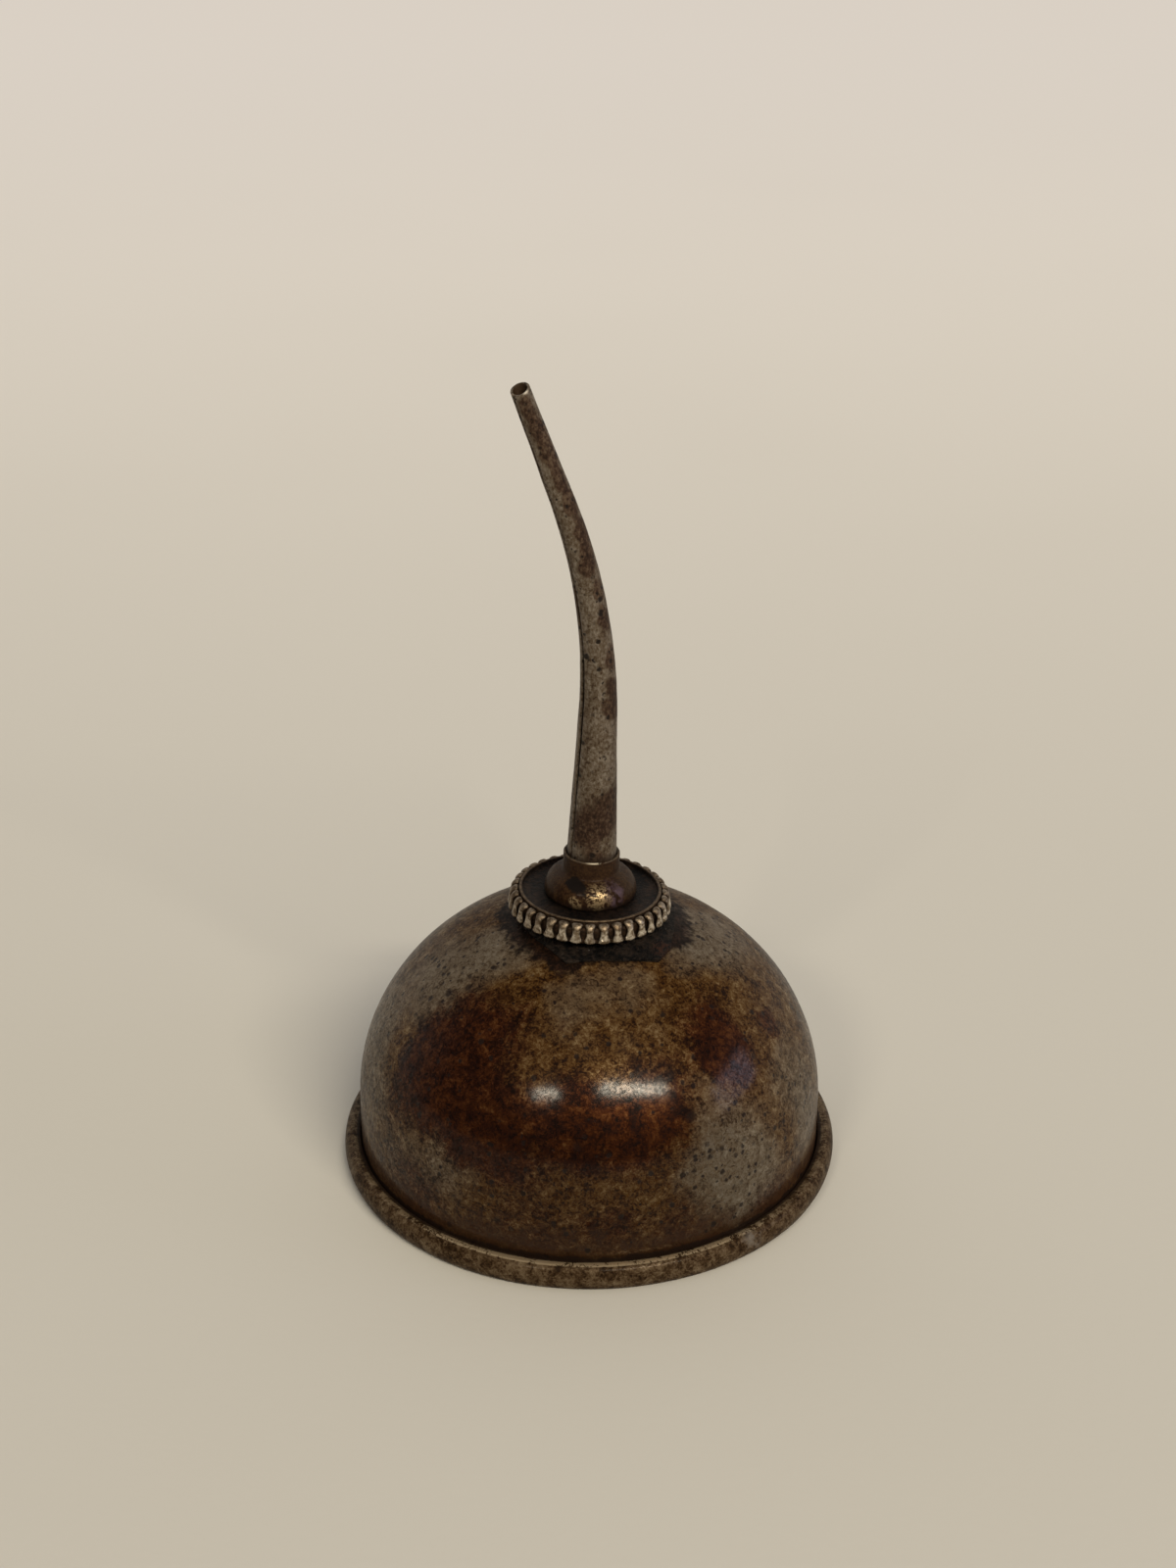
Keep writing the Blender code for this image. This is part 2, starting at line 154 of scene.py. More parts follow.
def thicken(piece, sheet, offset=0):
    applyModifier(piece, "SOLIDIFY", thickness=sheet * mm, offset=offset, use_even_offset=True)


def easeEdges(piece, width):
    applyModifier(piece, "BEVEL", width=width * mm, segments=3, limit_method="ANGLE", angle_limit=1)


def joinPieces(name, pieces):
    bpy.ops.object.select_all(action="DESELECT")
    for piece in pieces:
        piece.select_set(True)
    bpy.context.view_layer.objects.active = pieces[0]
    bpy.ops.object.join()
    pieces[0].name = name
    pieces[0].data.name = name
    return pieces[0]


def settle(piece, onNeck=False):  # the piece's place goes into its mesh
    if onNeck:
        piece.location = neckPlace
        piece.rotation_euler = (0, neckLean, 0)
    bpy.ops.object.select_all(action="DESELECT")
    piece.select_set(True)
    bpy.context.view_layer.objects.active = piece
    bpy.ops.object.transform_apply(location=True, rotation=True, scale=True)
    bpy.ops.object.shade_smooth_by_angle(angle=smoothBelow)


def dress(piece, finish, body, node):
    piece.data.materials.clear()
    piece.data.materials.append(finish)
    if body:
        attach(piece, body)
    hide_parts(node)
    print(piece.name, "made with", len(piece.data.polygons), "faces")


# Finishes: sums on a Wire add Math nodes, and a Finish adds every other node

class Wire:
    def __init__(self, finish, socket):
        self.finish = finish
        self.socket = socket

    def sum(self, operation, first, second):
        return self.finish.node("Math", {"operation": operation}, {0: first, 1: second})

    def __add__(self, other):
        return self.sum("ADD", self, other)

    def __sub__(self, other):
        return self.sum("SUBTRACT", self, other)

    def __rsub__(self, other):
        return self.sum("SUBTRACT", other, self)

    def __mul__(self, other):
        return self.sum("MULTIPLY", self, other)

    __radd__ = __add__
    __rmul__ = __mul__

    def __truediv__(self, other):
        return self.sum("DIVIDE", self, other)

    def __pow__(self, other):
        return self.sum("POWER", self, other)

    def least(self, other):
        return self.sum("MINIMUM", self, other)

    def most(self, other):
        return self.sum("MAXIMUM", self, other)

    def size(self):
        return self.finish.node("Math", {"operation": "ABSOLUTE"}, {0: self})

    def rise(self, low, high):  # 0 below low, 1 above high, smooth between; falls where low is above high
        return self.finish.node(
            "MapRange",
            {"interpolation_type": "SMOOTHSTEP"},
            {"Value": self, "From Min": low, "From Max": high},
        )


class Finish:
    def __init__(self, name, owner=None):
        self.owner = owner or bpy.data.materials.new(name)
        self.owner.use_nodes = True
        self.tree = self.owner.node_tree
        self.tree.nodes.clear()

    def node(self, kind, settings=None, sockets=None, output=0):
        made = self.tree.nodes.new("ShaderNode" + kind)
        for key, value in (settings or {}).items():
            if key == "stops":
                self.setStops(made.color_ramp.elements, value)
            else:
                setattr(made, key, value)
        for key, value in (sockets or {}).items():
            if isinstance(value, Wire):
                self.tree.links.new(value.socket, made.inputs[key])
            else:
                made.inputs[key].default_value = value
        return Wire(self, made.outputs[output]) if len(made.outputs) else made

    def setStops(self, elements, stops):  # places and colours along a ramp
        while len(elements) < len(stops):
            elements.new(1)
        for element, (place, colour) in zip(elements, stops):
            element.position = place
            element.color = (*colour, 1)

    def ramp(self, share, *stops):
        return self.node("ValToRGB", {"stops": stops}, {0: share})

    def place(self, onNeck=False):  # in millimetres from the table's middle, or from the neck's seat
        sockets = {"Vector": self.node("TexCoord", output="Object"), "Scale": (mm, mm, mm)}
        if onNeck:
            sockets.update({"Location": neckPlace, "Rotation": (0, neckLean, 0)})
        return self.node("Mapping", {"vector_type": "TEXTURE"}, sockets)

    def parts(self, point):
        split = self.node("SeparateXYZ", sockets={0: point}).socket.node
        return [Wire(self, socket) for socket in split.outputs]

    def stretch(self, point, across, along):
        return self.node("Mapping", sockets={"Vector": point, "Scale": (across, across, along)})

    def noise(self, point, scale, detail=3, roughness=0.55, distortion=0):
        sockets = {"Vector": point, "Scale": scale, "Detail": detail, "Roughness": roughness}
        return self.node("TexNoise", sockets={**sockets, "Distortion": distortion})

    def vector(self, operation, first, sockets, output=0):
        return self.node("VectorMath", {"operation": operation}, {0: first, **sockets}, output)

    def warp(self, point, scale, reach):  # the point pushed about by up to half of reach
        colour = Wire(self, self.noise(point, scale, 2).socket.node.outputs["Color"])
        centred = self.vector("SUBTRACT", colour, {1: (0.5, 0.5, 0.5)})
        return self.vector("ADD", point, {1: self.vector("SCALE", centred, {"Scale": reach})})

    def near(self, point, centre, reach):  # 1 at the centre, 0 from reach outwards
        return self.vector("DISTANCE", point, {1: centre}, "Value").rise(reach, reach * 0.25)

    def nearest(self, point, first, *others):  # the strongest of several places, each a centre and a reach
        found = self.near(point, *first)
        for place in others:
            found = found.most(self.near(point, *place))
        return found

    def patches(self, point, places):  # places as centre, reach and strength add up
        total = 0
        for centre, reach, strength in places:
            total = total + self.near(point, centre, reach) * strength
        return total

    def dots(self, point, scale, reach, share):  # round pits: reach is a share of their spacing
        cells = self.node("TexVoronoi", sockets={"Vector": point, "Scale": scale})
        draw = self.parts(Wire(self, cells.socket.node.outputs["Color"]))
        chosen = draw[0].rise(1 - share, 1 - share * 0.5)
        return (cells / (draw[1] * reach + reach * 0.4)).rise(1, 0.55) * chosen

    def mix(self, first, second, share):
        colours = [(*c, 1) if isinstance(c, tuple) else c for c in (first, second)]
        settings = {"data_type": "RGBA", "clamp_factor": True}
        return self.node("Mix", settings, {0: share, 6: colours[0], 7: colours[1]}, 2)

    def coats(self, colour, *layers):  # each layer is a colour and the share of it that covers those below
        for paint, share in layers:
            colour = self.mix(colour, paint, share)
        return colour

    def rays(self):  # camera rays, and those that come off a shiny face or through a clear one
        ray = self.node("LightPath", output="Is Camera Ray")
        glossy, clear = [ray.socket.node.outputs[f"Is {kind} Ray"] for kind in ("Glossy", "Transmission")]
        return ray, Wire(self, glossy).most(Wire(self, clear))

    def surface(self, colour, roughness, metallic, height, depth, **more):  # depth is in millimetres
        bump = self.node("Bump", sockets={"Height": height, "Distance": depth * mm, "Strength": 1})
        sockets = {"Base Color": colour, "Roughness": roughness, "Metallic": metallic, "Normal": bump}
        sockets.update({key.replace("_", " "): value for key, value in more.items()})
        shader = self.node("BsdfPrincipled", sockets=sockets)
        self.node("OutputMaterial", sockets={"Surface": shader})
        return self.owner


# The domed shell: crown, straight skirt, and the sheet rolled out into the bead that it stands on

shell = {
    "sheet": 0.5, "skirtHeight": 6.9, "crownHeight": 20.9, "holeRadius": 6.85,
    "beadRadius": cadHigh.x / mm, "beadReach": 1.75, "beadHeight": 2.7, "beadLand": 0.5,
    "mouth": 0.2, "droop": 0.15, "steps": 224, "crownRows": 44, "rollRows": 10,
    "waveSize": 8, "waveDepth": 0.07,
}
shell["radius"] = shell["beadRadius"] - shell["beadReach"]


def crownHeightAt(radius, inset=0):
    share = min(1, radius / (shell["radius"] - inset))
    return shell["skirtHeight"] + (shell["crownHeight"] - inset) * math.sqrt(1 - share * share)


def crownOverNeck(x, y, inset):  # the crown's height over the neck's seat, along the leaning axis
    seat = neckPlace.z / mm
    sine, cosine = math.sin(neckLean), math.cos(neckLean)
    height = 0
    for _ in range(6):
        radius = math.hypot(x * cosine + height * sine, y)
        height = (crownHeightAt(radius, inset) - seat + x * sine) / cosine
    return height


def shellPoint(azimuth, height):  # a place on the shell's face, by its angle from +X and its height
    rise = max(0, height - shell["skirtHeight"]) / shell["crownHeight"]
    radius = shell["radius"] * math.sqrt(1 - rise * rise)
    angle = math.radians(azimuth)
    return (radius * math.cos(angle), radius * math.sin(angle), height)


def makeShell():
    half = shell["sheet"] / 2
    across = shell["radius"] - half
    along = shell["crownHeight"] - half
    start = math.degrees(math.acos(shell["holeRadius"] / across))
    points = arcPoints(0, shell["skirtHeight"], across, along, start, 0, shell["crownRows"])
    rollAcross = (shell["beadReach"] - shell["beadLand"]) / 2
    rollAlong = (shell["beadHeight"] - shell["sheet"]) / 2
    middle = half + rollAlong
    inner = across + rollAcross
    points += [(across, middle + (shell["skirtHeight"] - middle) * share) for share in (0.75, 0.5, 0.25)]
    rows = shell["rollRows"]
    points += arcPoints(inner, middle, rollAcross, rollAlong, -180, -90, rows)
    points += arcPoints(inner + shell["beadLand"], middle, rollAcross, rollAlong, -90, 90, 2 * rows)
    points += [(shell["radius"] + shell["mouth"], middle + rollAlong - shell["droop"])]
    piece = spinSection("domeShell", points, shell["steps"])
    roughen(piece, shell["waveSize"], shell["waveDepth"])
    thicken(piece, shell["sheet"])
    for vertex in piece.data.vertices:  # the bead stands flat on the table
        vertex.co.z = max(vertex.co.z, 0)
    settle(piece)
    return piece


# Places on the shell as azimuth, height, reach and strength
shellPatches = {
    "heat": [  # burnt red-brown
        (-129, 20.6, 8.5, 0.75), (-138, 17.3, 7.5, 0.85), (-125, 15.6, 7, 0.8), (-105, 15, 7, 0.75),
        (-88, 15.1, 6.5, 0.8), (-74, 14.4, 5.5, 0.7), (-47, 20.8, 5.5, 0.9), (-44, 18.6, 4, 0.8),
        (-93, 18, 5, 0.62), (-70, 18.2, 5.5, 0.7), (-24, 19, 2.6, 0.7), (-41, 3.6, 4.5, 0.5),
        (-104, 5, 7.5, 0.45), (-85, 6.6, 4.5, 0.5), (-67, 5, 5.5, 0.45), (-137, 5.4, 6, 0.6),
        (-116, 12.6, 5.5, 0.5), (-146, 14, 6, 0.4), (18, 16, 9, 0.7), (72, 19, 10, 0.8),
        (122, 12, 9, 0.7), (160, 18, 7, 0.5), (96, 6, 8, 0.5),
    ],
    "steel": [  # greyer, where the plating still shows, and painted sheen high on the crown's left and right edges
        (-55, 10.6, 7.5, 1), (-47, 6.8, 6.5, 0.8), (-137, 8.6, 6.5, 0.4), (-124, 10.4, 5, 0.4),
        (-160, 23, 7.5, 0.95), (-146, 26, 5.5, 0.8), (-24, 13.5, 6.5, 0.55), (-22, 8.2, 5, 0.5),
        (-2, 25, 7.5, 0.9), (-30, 25.6, 4.5, 0.5), (-96, 24.6, 4, 0.35), (-72, 25.2, 4, 0.35),
        (-158, 11.6, 5, 0.6), (-170, 16.4, 6, 0.6), (-62, 17.4, 4, 0.3), (8, 9, 10, 0.6),
        (58, 9, 9, 0.7), (140, 21, 9, 0.6), (108, 24, 7, 0.5), (176, 8, 8, 0.6),
    ],
    "spots": [  # lone dark pits and nicks
        (-63, 15.7, 0.9, 0.9), (-60, 11.7, 0.45, 1), (-3, 15.9, 1.1, 0.8), (-5, 17.2, 0.8, 0.8),
        (-93, 14.3, 0.7, 0.6), (-112, 5.9, 0.5, 0.9), (-150, 22.4, 0.7, 0.8), (-144, 23.4, 0.6, 0.8),
        (30, 20, 0.8, 0.8), (80, 12, 0.9, 0.9), (150, 9, 0.7, 0.8), (110, 18, 0.6, 0.8),
    ],
}

# Black oil round the washer as degrees round the neck, radius, reach and strength
shellStains = [
    (255, 9.4, 2.3, 1), (238, 8.2, 2, 0.4), (300, 9.6, 2.4, 0.2), (338, 9.8, 3.4, 1), (2, 9.4, 3, 0.7),
    (24, 8.8, 3, 0.4),
]

shellTones = {  # ramps from the grain's darkest to its palest
    "olive": [
        (0, (0.0085, 0.0026, 0.0005)), (0.28, (0.027, 0.0098, 0.0016)), (0.52, (0.057, 0.0262, 0.0062)),
        (0.76, (0.086, 0.0485, 0.018)), (1, (0.145, 0.096, 0.047)),
    ],
    "burnt": [
        (0, (0.005, 0.0012, 0.0005)), (0.35, (0.0125, 0.0027, 0.0008)), (0.6, (0.031, 0.0078, 0.0016)),
        (0.82, (0.054, 0.018, 0.0045)), (1, (0.092, 0.043, 0.015)),
    ],
    "grey": [
        (0, (0.014, 0.0075, 0.0042)), (0.25, (0.044, 0.0275, 0.015)), (0.55, (0.09, 0.0665, 0.0435)),
        (0.8, (0.136, 0.11, 0.082)), (1, (0.19, 0.162, 0.128)),
    ],
    "bead": [
        (0, (0.014, 0.007, 0.003)), (0.32, (0.034, 0.0185, 0.0085)), (0.6, (0.07, 0.045, 0.025)),
        (1, (0.135, 0.098, 0.062)),
    ],
}


def onShell(kind):
    places = shellPatches[kind]
    return [(shellPoint(azimuth, height), reach, strength) for azimuth, height, reach, strength in places]


def onCrown():  # the oil's places, measured from the neck's seat
    places = []
    for azimuth, radius, reach, strength in shellStains:
        angle = math.radians(azimuth)
        x, y = radius * math.cos(angle), radius * math.sin(angle)
        places.append(((x, y, crownOverNeck(x, y, 0)), reach, strength))
    return places


def makeAgedShell():
    finish = Finish("agedShell")
    point = finish.place()
    x, y, z = finish.parts(point)
    warped = finish.warp(point, 0.35, 3.5)
    cloud = finish.noise(warped, 0.17, 3)
    drift = finish.noise(warped, 0.6, 4, 0.65)
    speck = finish.noise(point, 1.2, 4, 0.62, 0.5)
    fine = finish.noise(point, 2.8, 2, 0.6, 1.2)
    fleck = finish.noise(point, 1.75, 2, 0.6, 1.6)

    burns = finish.patches(warped, onShell("heat"))
    # grey patches: bare plating, and a painted sheen high on the crown's edges
    greyPatches = finish.patches(warped, onShell("steel"))
    heat = (burns + (cloud - 0.5) * 0.8 + (drift - 0.5) * 0.6).most(0).least(1.1)
    steel = (greyPatches + (cloud - 0.5) * 0.7 - burns * 0.3).most(0).least(1)

    # one grain runs through three patinas: olive brown, burnt red-brown and grey steel
    grain = speck * 0.45 + fine * 0.55 - 0.5
    darkFlecks = fleck.rise(0.545, 0.585) * (0.6 + (0.5 - drift) * 3).most(0).least(1)
    paleShare = (0.4 + (drift - 0.5) * 2.6 - heat * 0.2).most(0).least(1)
    paleFlecks = (1 - fleck).rise(0.54, 0.61) * paleShare
    quiet = grain * (2.2 - heat * 0.5) + (drift - 0.5) * 1.3
    tone = quiet + 0.51 - darkFlecks * 0.4 + paleFlecks * 0.2 - heat * 0.03
    greyTone = quiet * (0.8 - z.rise(12, 19) * 0.3) + 0.66 - darkFlecks * 0.38
    umber = (z + (drift - 0.5) * 5 + (cloud - 0.5) * 4).rise(6.6, 3.4)
    ragged = finish.warp(point, 2.5, 0.35)
    platingPits = finish.dots(ragged, 1.5, 0.4, 0.5) * steel.rise(0.2, 0.6)
    lonePits = finish.patches(finish.warp(point, 2, 0.5), onShell("spots"))
    pits = finish.dots(ragged, 1, 0.28, 0.5).most(platingPits).most(lonePits)

    # black oil creeps out from under the washer, furthest at its corners
    onNeck = finish.place(onNeck=True)
    neckX, neckY, _ = finish.parts(onNeck)
    fromNeck = (neckX * neckX + neckY * neckY) ** 0.5
    creep = finish.patches(onNeck, onCrown())
    stain = (fromNeck - creep * 1.8 + (drift - 0.5) * 2.4 + (speck - 0.5) * 3).rise(9.6, 8.2)
    tarShare = (speck * 0.5 + fine * 0.5).rise(0.44, 0.66)
    tar = finish.mix((0.0045, 0.0024, 0.0018), (0.022, 0.009, 0.005), tarShare)

    # the bead: dirt and painted shade in the groove above it and in its mouth, brown mottle on its face, and
    # a worn line along its top that is painted brighter in front as a highlight
    fromAxis = (x * x + y * y) ** 0.5
    onBead = fromAxis.rise(shell["radius"] + 0.15, shell["radius"] + 0.4)
    worn = fine * 0.5 + drift * 0.5 + y.rise(-18, -25) * 0.05
    # painted highlight: the worn line along the bead's top is painted brighter toward the front
    rubbedHighlight = z.rise(2.59, 2.67) * worn.rise(0.45, 0.53) * (y.rise(-15, -21) * 0.92 + 0.08)
    pale = finish.near(warped, (15.6, -19.2, 1.8), 2) * drift.rise(0.4, 0.6)
    bead = finish.coats(
        finish.ramp(tone, *shellTones["bead"]),
        ((0.52, 0.4, 0.26), rubbedHighlight * 0.8), ((0.155, 0.138, 0.125), pale * 0.55),
    )
    # grime and painted shade: the foot of the skirt just above the bead takes the groove colour
    grimeAndShade = (z + (cloud - 0.5) * 0.4 + (drift - 0.5)).rise(3.05, 2.75) * (1 - onBead)
    # painted shade: the inner top of the bead, at the roll's mouth, takes the groove colour
    mouth = fromAxis.rise(shell["radius"] + 0.65, shell["radius"] + 0.3) * z.rise(1.8, 2.2) * onBead

    # dirt and painted shade for the groove and the mouth
    groove = (0.008, 0.005, 0.004)
    colour = finish.coats(
        finish.ramp(tone, *shellTones["olive"]),
        (finish.ramp(greyTone, *shellTones["grey"]), steel * 0.95),
        (finish.ramp(tone, *shellTones["burnt"]), (heat + grain * -1.6).rise(0, 0.8) * 0.97),
        ((0.03, 0.0135, 0.007), umber * (0.75 - steel * 0.4)), ((0.01, 0.006, 0.005), pits * 0.9),
        (tar, stain * 0.96), (bead, onBead), (groove, grimeAndShade * 0.85), (groove, mouth),
    )
    polish = (z.rise(24.5, 18) * 0.8 + 0.2) * (1 - onBead * 0.85) * (1 - grimeAndShade)
    roughness = 0.44 - grain * 0.5 - steel * 0.06 + stain * 0.1 + grimeAndShade * 0.2
    metallic = (0.02 + steel * 0.26 + rubbedHighlight * 0.6 + onBead * 0.12) * (1 - grimeAndShade)
    coat = (fine.rise(0.22, 0.76) * 0.38 + 0.055) * polish
    height = speck * 0.5 + fine * 0.5 - pits * 1.2
    return finish.surface(
        colour, roughness, metallic, height, 0.03,
        Coat_Weight=coat, Coat_Roughness=0.15, Specular_IOR_Level=0.03,
    )


agedShell = makeAgedShell()
domeShell = makeShell()
dress(domeShell, agedShell, "can", "can_dome")


# The spring bottom: a thin pan whose flange sits in the skirt and whose rippled middle gives when pressed

pan = {
    "sheet": 0.35, "recess": 1.9, "bulge": 0.8, "flangeHeight": 3, "corner": 0.8,
    "rippleStart": 8.5, "ripplePitch": 5.5, "rippleWidth": 3.2, "rippleDepth": 0.4, "ripples": 2,
    "steps": 160, "discRows": 60, "cornerRows": 8, "stillFrom": 21.4, "fullWithin": 9,
}


def panHeight(radius, rim):
    height = pan["recess"] - pan["bulge"] * (1 - (radius / rim) ** 2)
    for i in range(pan["ripples"]):
        across = abs(radius - pan["rippleStart"] - i * pan["ripplePitch"]) / (pan["rippleWidth"] / 2)
        if across < 1:
            height += pan["rippleDepth"] * (0.5 + 0.5 * math.cos(math.pi * across))
    return height


def makePan():
    flange = shell["radius"] - shell["sheet"] - seatGap - pan["sheet"] / 2
    rim = flange - pan["corner"]
    corner = pan["corner"]
    points = [(flange, pan["recess"] + pan["flangeHeight"])]
    points += arcPoints(rim, pan["recess"] + corner, corner, corner, 0, -90, pan["cornerRows"])
    radii = [rim * (1 - i / pan["discRows"]) for i in range(1, pan["discRows"] + 1)]
    points += [(radius, panHeight(radius, rim)) for radius in radii]
    piece = spinSection("springPan", points, pan["steps"])
    thicken(piece, pan["sheet"])
    settle(piece)
    return piece


def makeOiledSteel():
    finish = Finish("oiledSteel")
    point = finish.place()
    x, y, _ = finish.parts(point)
    fromAxis = (x * x + y * y) ** 0.5
    cloud = finish.noise(finish.warp(point, 0.2, 6), 0.12, 4)
    mottle = finish.noise(point, 1.3, 4, 0.65)
    rings = finish.noise(finish.node("CombineXYZ", sockets={0: fromAxis * 6}), 1, 2)
    colour = finish.coats(
        (0.085, 0.06, 0.038), ((0.165, 0.13, 0.095), mottle.rise(0.3, 0.7)),
        ((0.045, 0.019, 0.008), cloud.rise(0.47, 0.62) * 0.85),
    )
    for i in range(pan["ripples"]):  # darker along the ripples
        across = (fromAxis - (pan["rippleStart"] + i * pan["ripplePitch"]) + (mottle - 0.5) * 0.6).size()
        colour = finish.mix(colour, (0.016, 0.009, 0.006), across.rise(1.3, 0.3) * 0.8)
    pits = finish.dots(point, 0.5, 0.2, 0.5)
    rim = fromAxis.rise(19.5, 22.2)
    colour = finish.coats(colour, ((0.012, 0.008, 0.006), rim * 0.85), ((0.02, 0.01, 0.006), pits * 0.8))
    roughness = 0.4 + cloud * 0.2 + pits * 0.2
    height = mottle * 0.5 + rings * 0.5 - pits
    return finish.surface(colour, roughness, 0.55, height, 0.02)


def flexPan(piece):  # each vertex is laid out at its distance from the axis, the transform is baked, and the vertices are put back as they were
    places = [vertex.co.copy() for vertex in piece.data.vertices]
    for vertex in piece.data.vertices:
        vertex.co = (math.hypot(vertex.co.x, vertex.co.y), 0, 0)
    inMetres(pan["stillFrom"], 0, 0)
    inMetres(pan["fullWithin"], 0, 0)
    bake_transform(piece)
    for vertex, place in zip(piece.data.vertices, places):
        vertex.co = place


springPan = makePan()
flexPan(springPan)
dress(springPan, makeOiledSteel(), None, "spring_bottom")


# Screw threads: one ridge wound round the neck's axis, for the cap's stem and inside the bush

thread = {
    "radius": 5.6, "pitch": 1, "root": 0.8, "crest": 0.2, "depth": 0.46, "overlap": 0.02,
    "stepsPerTurn": 72, "turns": 3.75,
}


def windThread(name, rootRadius, crestRadius, start):
    across = abs(crestRadius - rootRadius)
    middle = (crestRadius + rootRadius) / 2
    piece = addPrimitive(
        name, bpy.ops.mesh.primitive_plane_add, size=mm, location=inMetres(middle, 0, start),
        rotation=(math.pi / 2, 0, 0),
    )
    bpy.ops.object.transform_apply(location=False, rotation=True, scale=True)
    bpy.ops.object.transform_apply(location=True, rotation=False, scale=False)
    startEdit()
    centre = inMetres(middle, 0, start)
    bpy.ops.transform.resize(value=(across, 1, thread["root"]), center_override=centre)
    side = 1 if crestRadius > rootRadius else -1
    selectWhere(piece, "verts", lambda vert: side * (vert.co.x - middle * mm) > 0)
    bpy.ops.transform.resize(value=(1, 1, thread["crest"] / thread["root"]), center_override=centre)
    bpy.ops.mesh.select_all(action="SELECT")
    bpy.ops.mesh.delete(type="ONLY_FACE")
    endEdit()
    steps = round(thread["turns"] * thread["stepsPerTurn"])
    climb = thread["turns"] * thread["pitch"] * mm
    applyModifier(
        piece, "SCREW", angle=thread["turns"] * math.tau, screw_offset=climb, steps=steps, render_steps=steps,
        use_merge_vertices=False,
    )
    startEdit()
    bpy.ops.mesh.select_all(action="DESELECT")
    bpy.ops.mesh.select_non_manifold(extend=False)
    bpy.ops.mesh.merge(type="COLLAPSE")
    weld()
    endEdit()
    return piece


# The bush under the dome's hole, which the cap screws into

bush = {
    "bore": 5.7, "wall": 1, "flange": 1.4, "flangeThickness": 0.9, "lead": 0.6, "edge": 0.25,
    "corner": 0.1, "rim": 0.08, "threadInset": 0.15, "steps": 96, "stemTurns": 4.5,
}


def makeBush():
    outer = bush["bore"] + bush["wall"]
    flange = outer + bush["flange"]
    top = min(crownOverNeck(side * flange, 0, shell["sheet"]) for side in (-1, 1)) - seatGap
    bottom = top - bush["flangeThickness"]
    end = -bush["stemTurns"] * thread["pitch"] - bush["lead"]
    bore, edge, corner, rim = bush["bore"], bush["edge"], bush["corner"], bush["rim"]
    points = [
        (bore + edge, 0), (outer - rim, 0), (outer, -rim), (outer, top), (flange - corner, top),
        (flange, top - corner), (flange, bottom + corner), (flange - corner, bottom),
        (outer + corner, bottom), (outer, bottom - corner), (outer, end + rim), (outer - rim, end),
        (bore, end), (bore, -edge),
    ]
    body = spinSection("bushBody", points, bush["steps"], closed=True)
    first = end + thread["root"] / 2 + bush["threadInset"]
    root = bore + thread["overlap"]
    ridge = windThread("bushThread", root, root - thread["depth"], first)
    piece = joinPieces("threadedBush", [body, ridge])
    settle(piece, onNeck=True)
    return piece, first


def makeBushBrass():
    finish = Finish("darkBrass")
    point = finish.place(onNeck=True)
    mottle = finish.noise(point, 1.4, 4, 0.65)
    cloud = finish.noise(point, 0.35, 3)
    lathe = finish.noise(finish.stretch(point, 0.15, 9), 1, 2)
    colour = finish.coats(
        (0.2, 0.13, 0.05), ((0.46, 0.33, 0.14), mottle.rise(0.3, 0.7)),
        ((0.05, 0.03, 0.015), cloud.rise(0.45, 0.65) * 0.8),
    )
    roughness = 0.34 + cloud * 0.25
    return finish.surface(colour, roughness, 0.95, mottle * 0.4 + lathe * 0.6, 0.015)


threadedBush, bushThreadStart = makeBush()
dress(threadedBush, makeBushBrass(), "can", "threaded_bush")


# The leather washer: a ring cut with straight scissor cuts, then pressed down over the crown by the cap

washer = {
    "sheet": 1, "squeezed": 0.5, "hole": 5.75, "radius": 9.3, "blank": 11.5, "steps": 120, "rings": 16,
    "cuts": [  # corners of the outline as degrees and share of the radius
        (12, 0.93), (40, 0.97), (80, 0.95), (115, 1), (150, 0.96), (185, 0.8),
        (224, 0.78), (256, 0.97), (292, 0.975), (311, 1.1), (324, 1.05), (345, 0.92),
    ],
    "lift": 0.3, "curlTightness": 24, "squeezeSlope": 1.1, "edge": 0.16, "lumpSize": 1.8, "lumpDepth": 0.34,
    "splitHeight": 0.66, "wornHighlightHeight": 1.02, "rustyCorner": (7.6, -6.2, -0.9), "seed": 5,
}


def cutWasher(piece, first, second):  # one straight cut from corner to corner
    ends = []
    for degrees, share in (first, second):
        angle = math.radians(degrees)
        ends.append(Vector((math.cos(angle), math.sin(angle), 0)) * washer["radius"] * share * mm)
    outward = (ends[1] - ends[0]).cross(Vector((0, 0, 1))).normalized()
    bpy.ops.mesh.select_all(action="SELECT")
    bpy.ops.mesh.bisect(plane_co=ends[0], plane_no=outward, clear_outer=True, threshold=0.001 * mm)


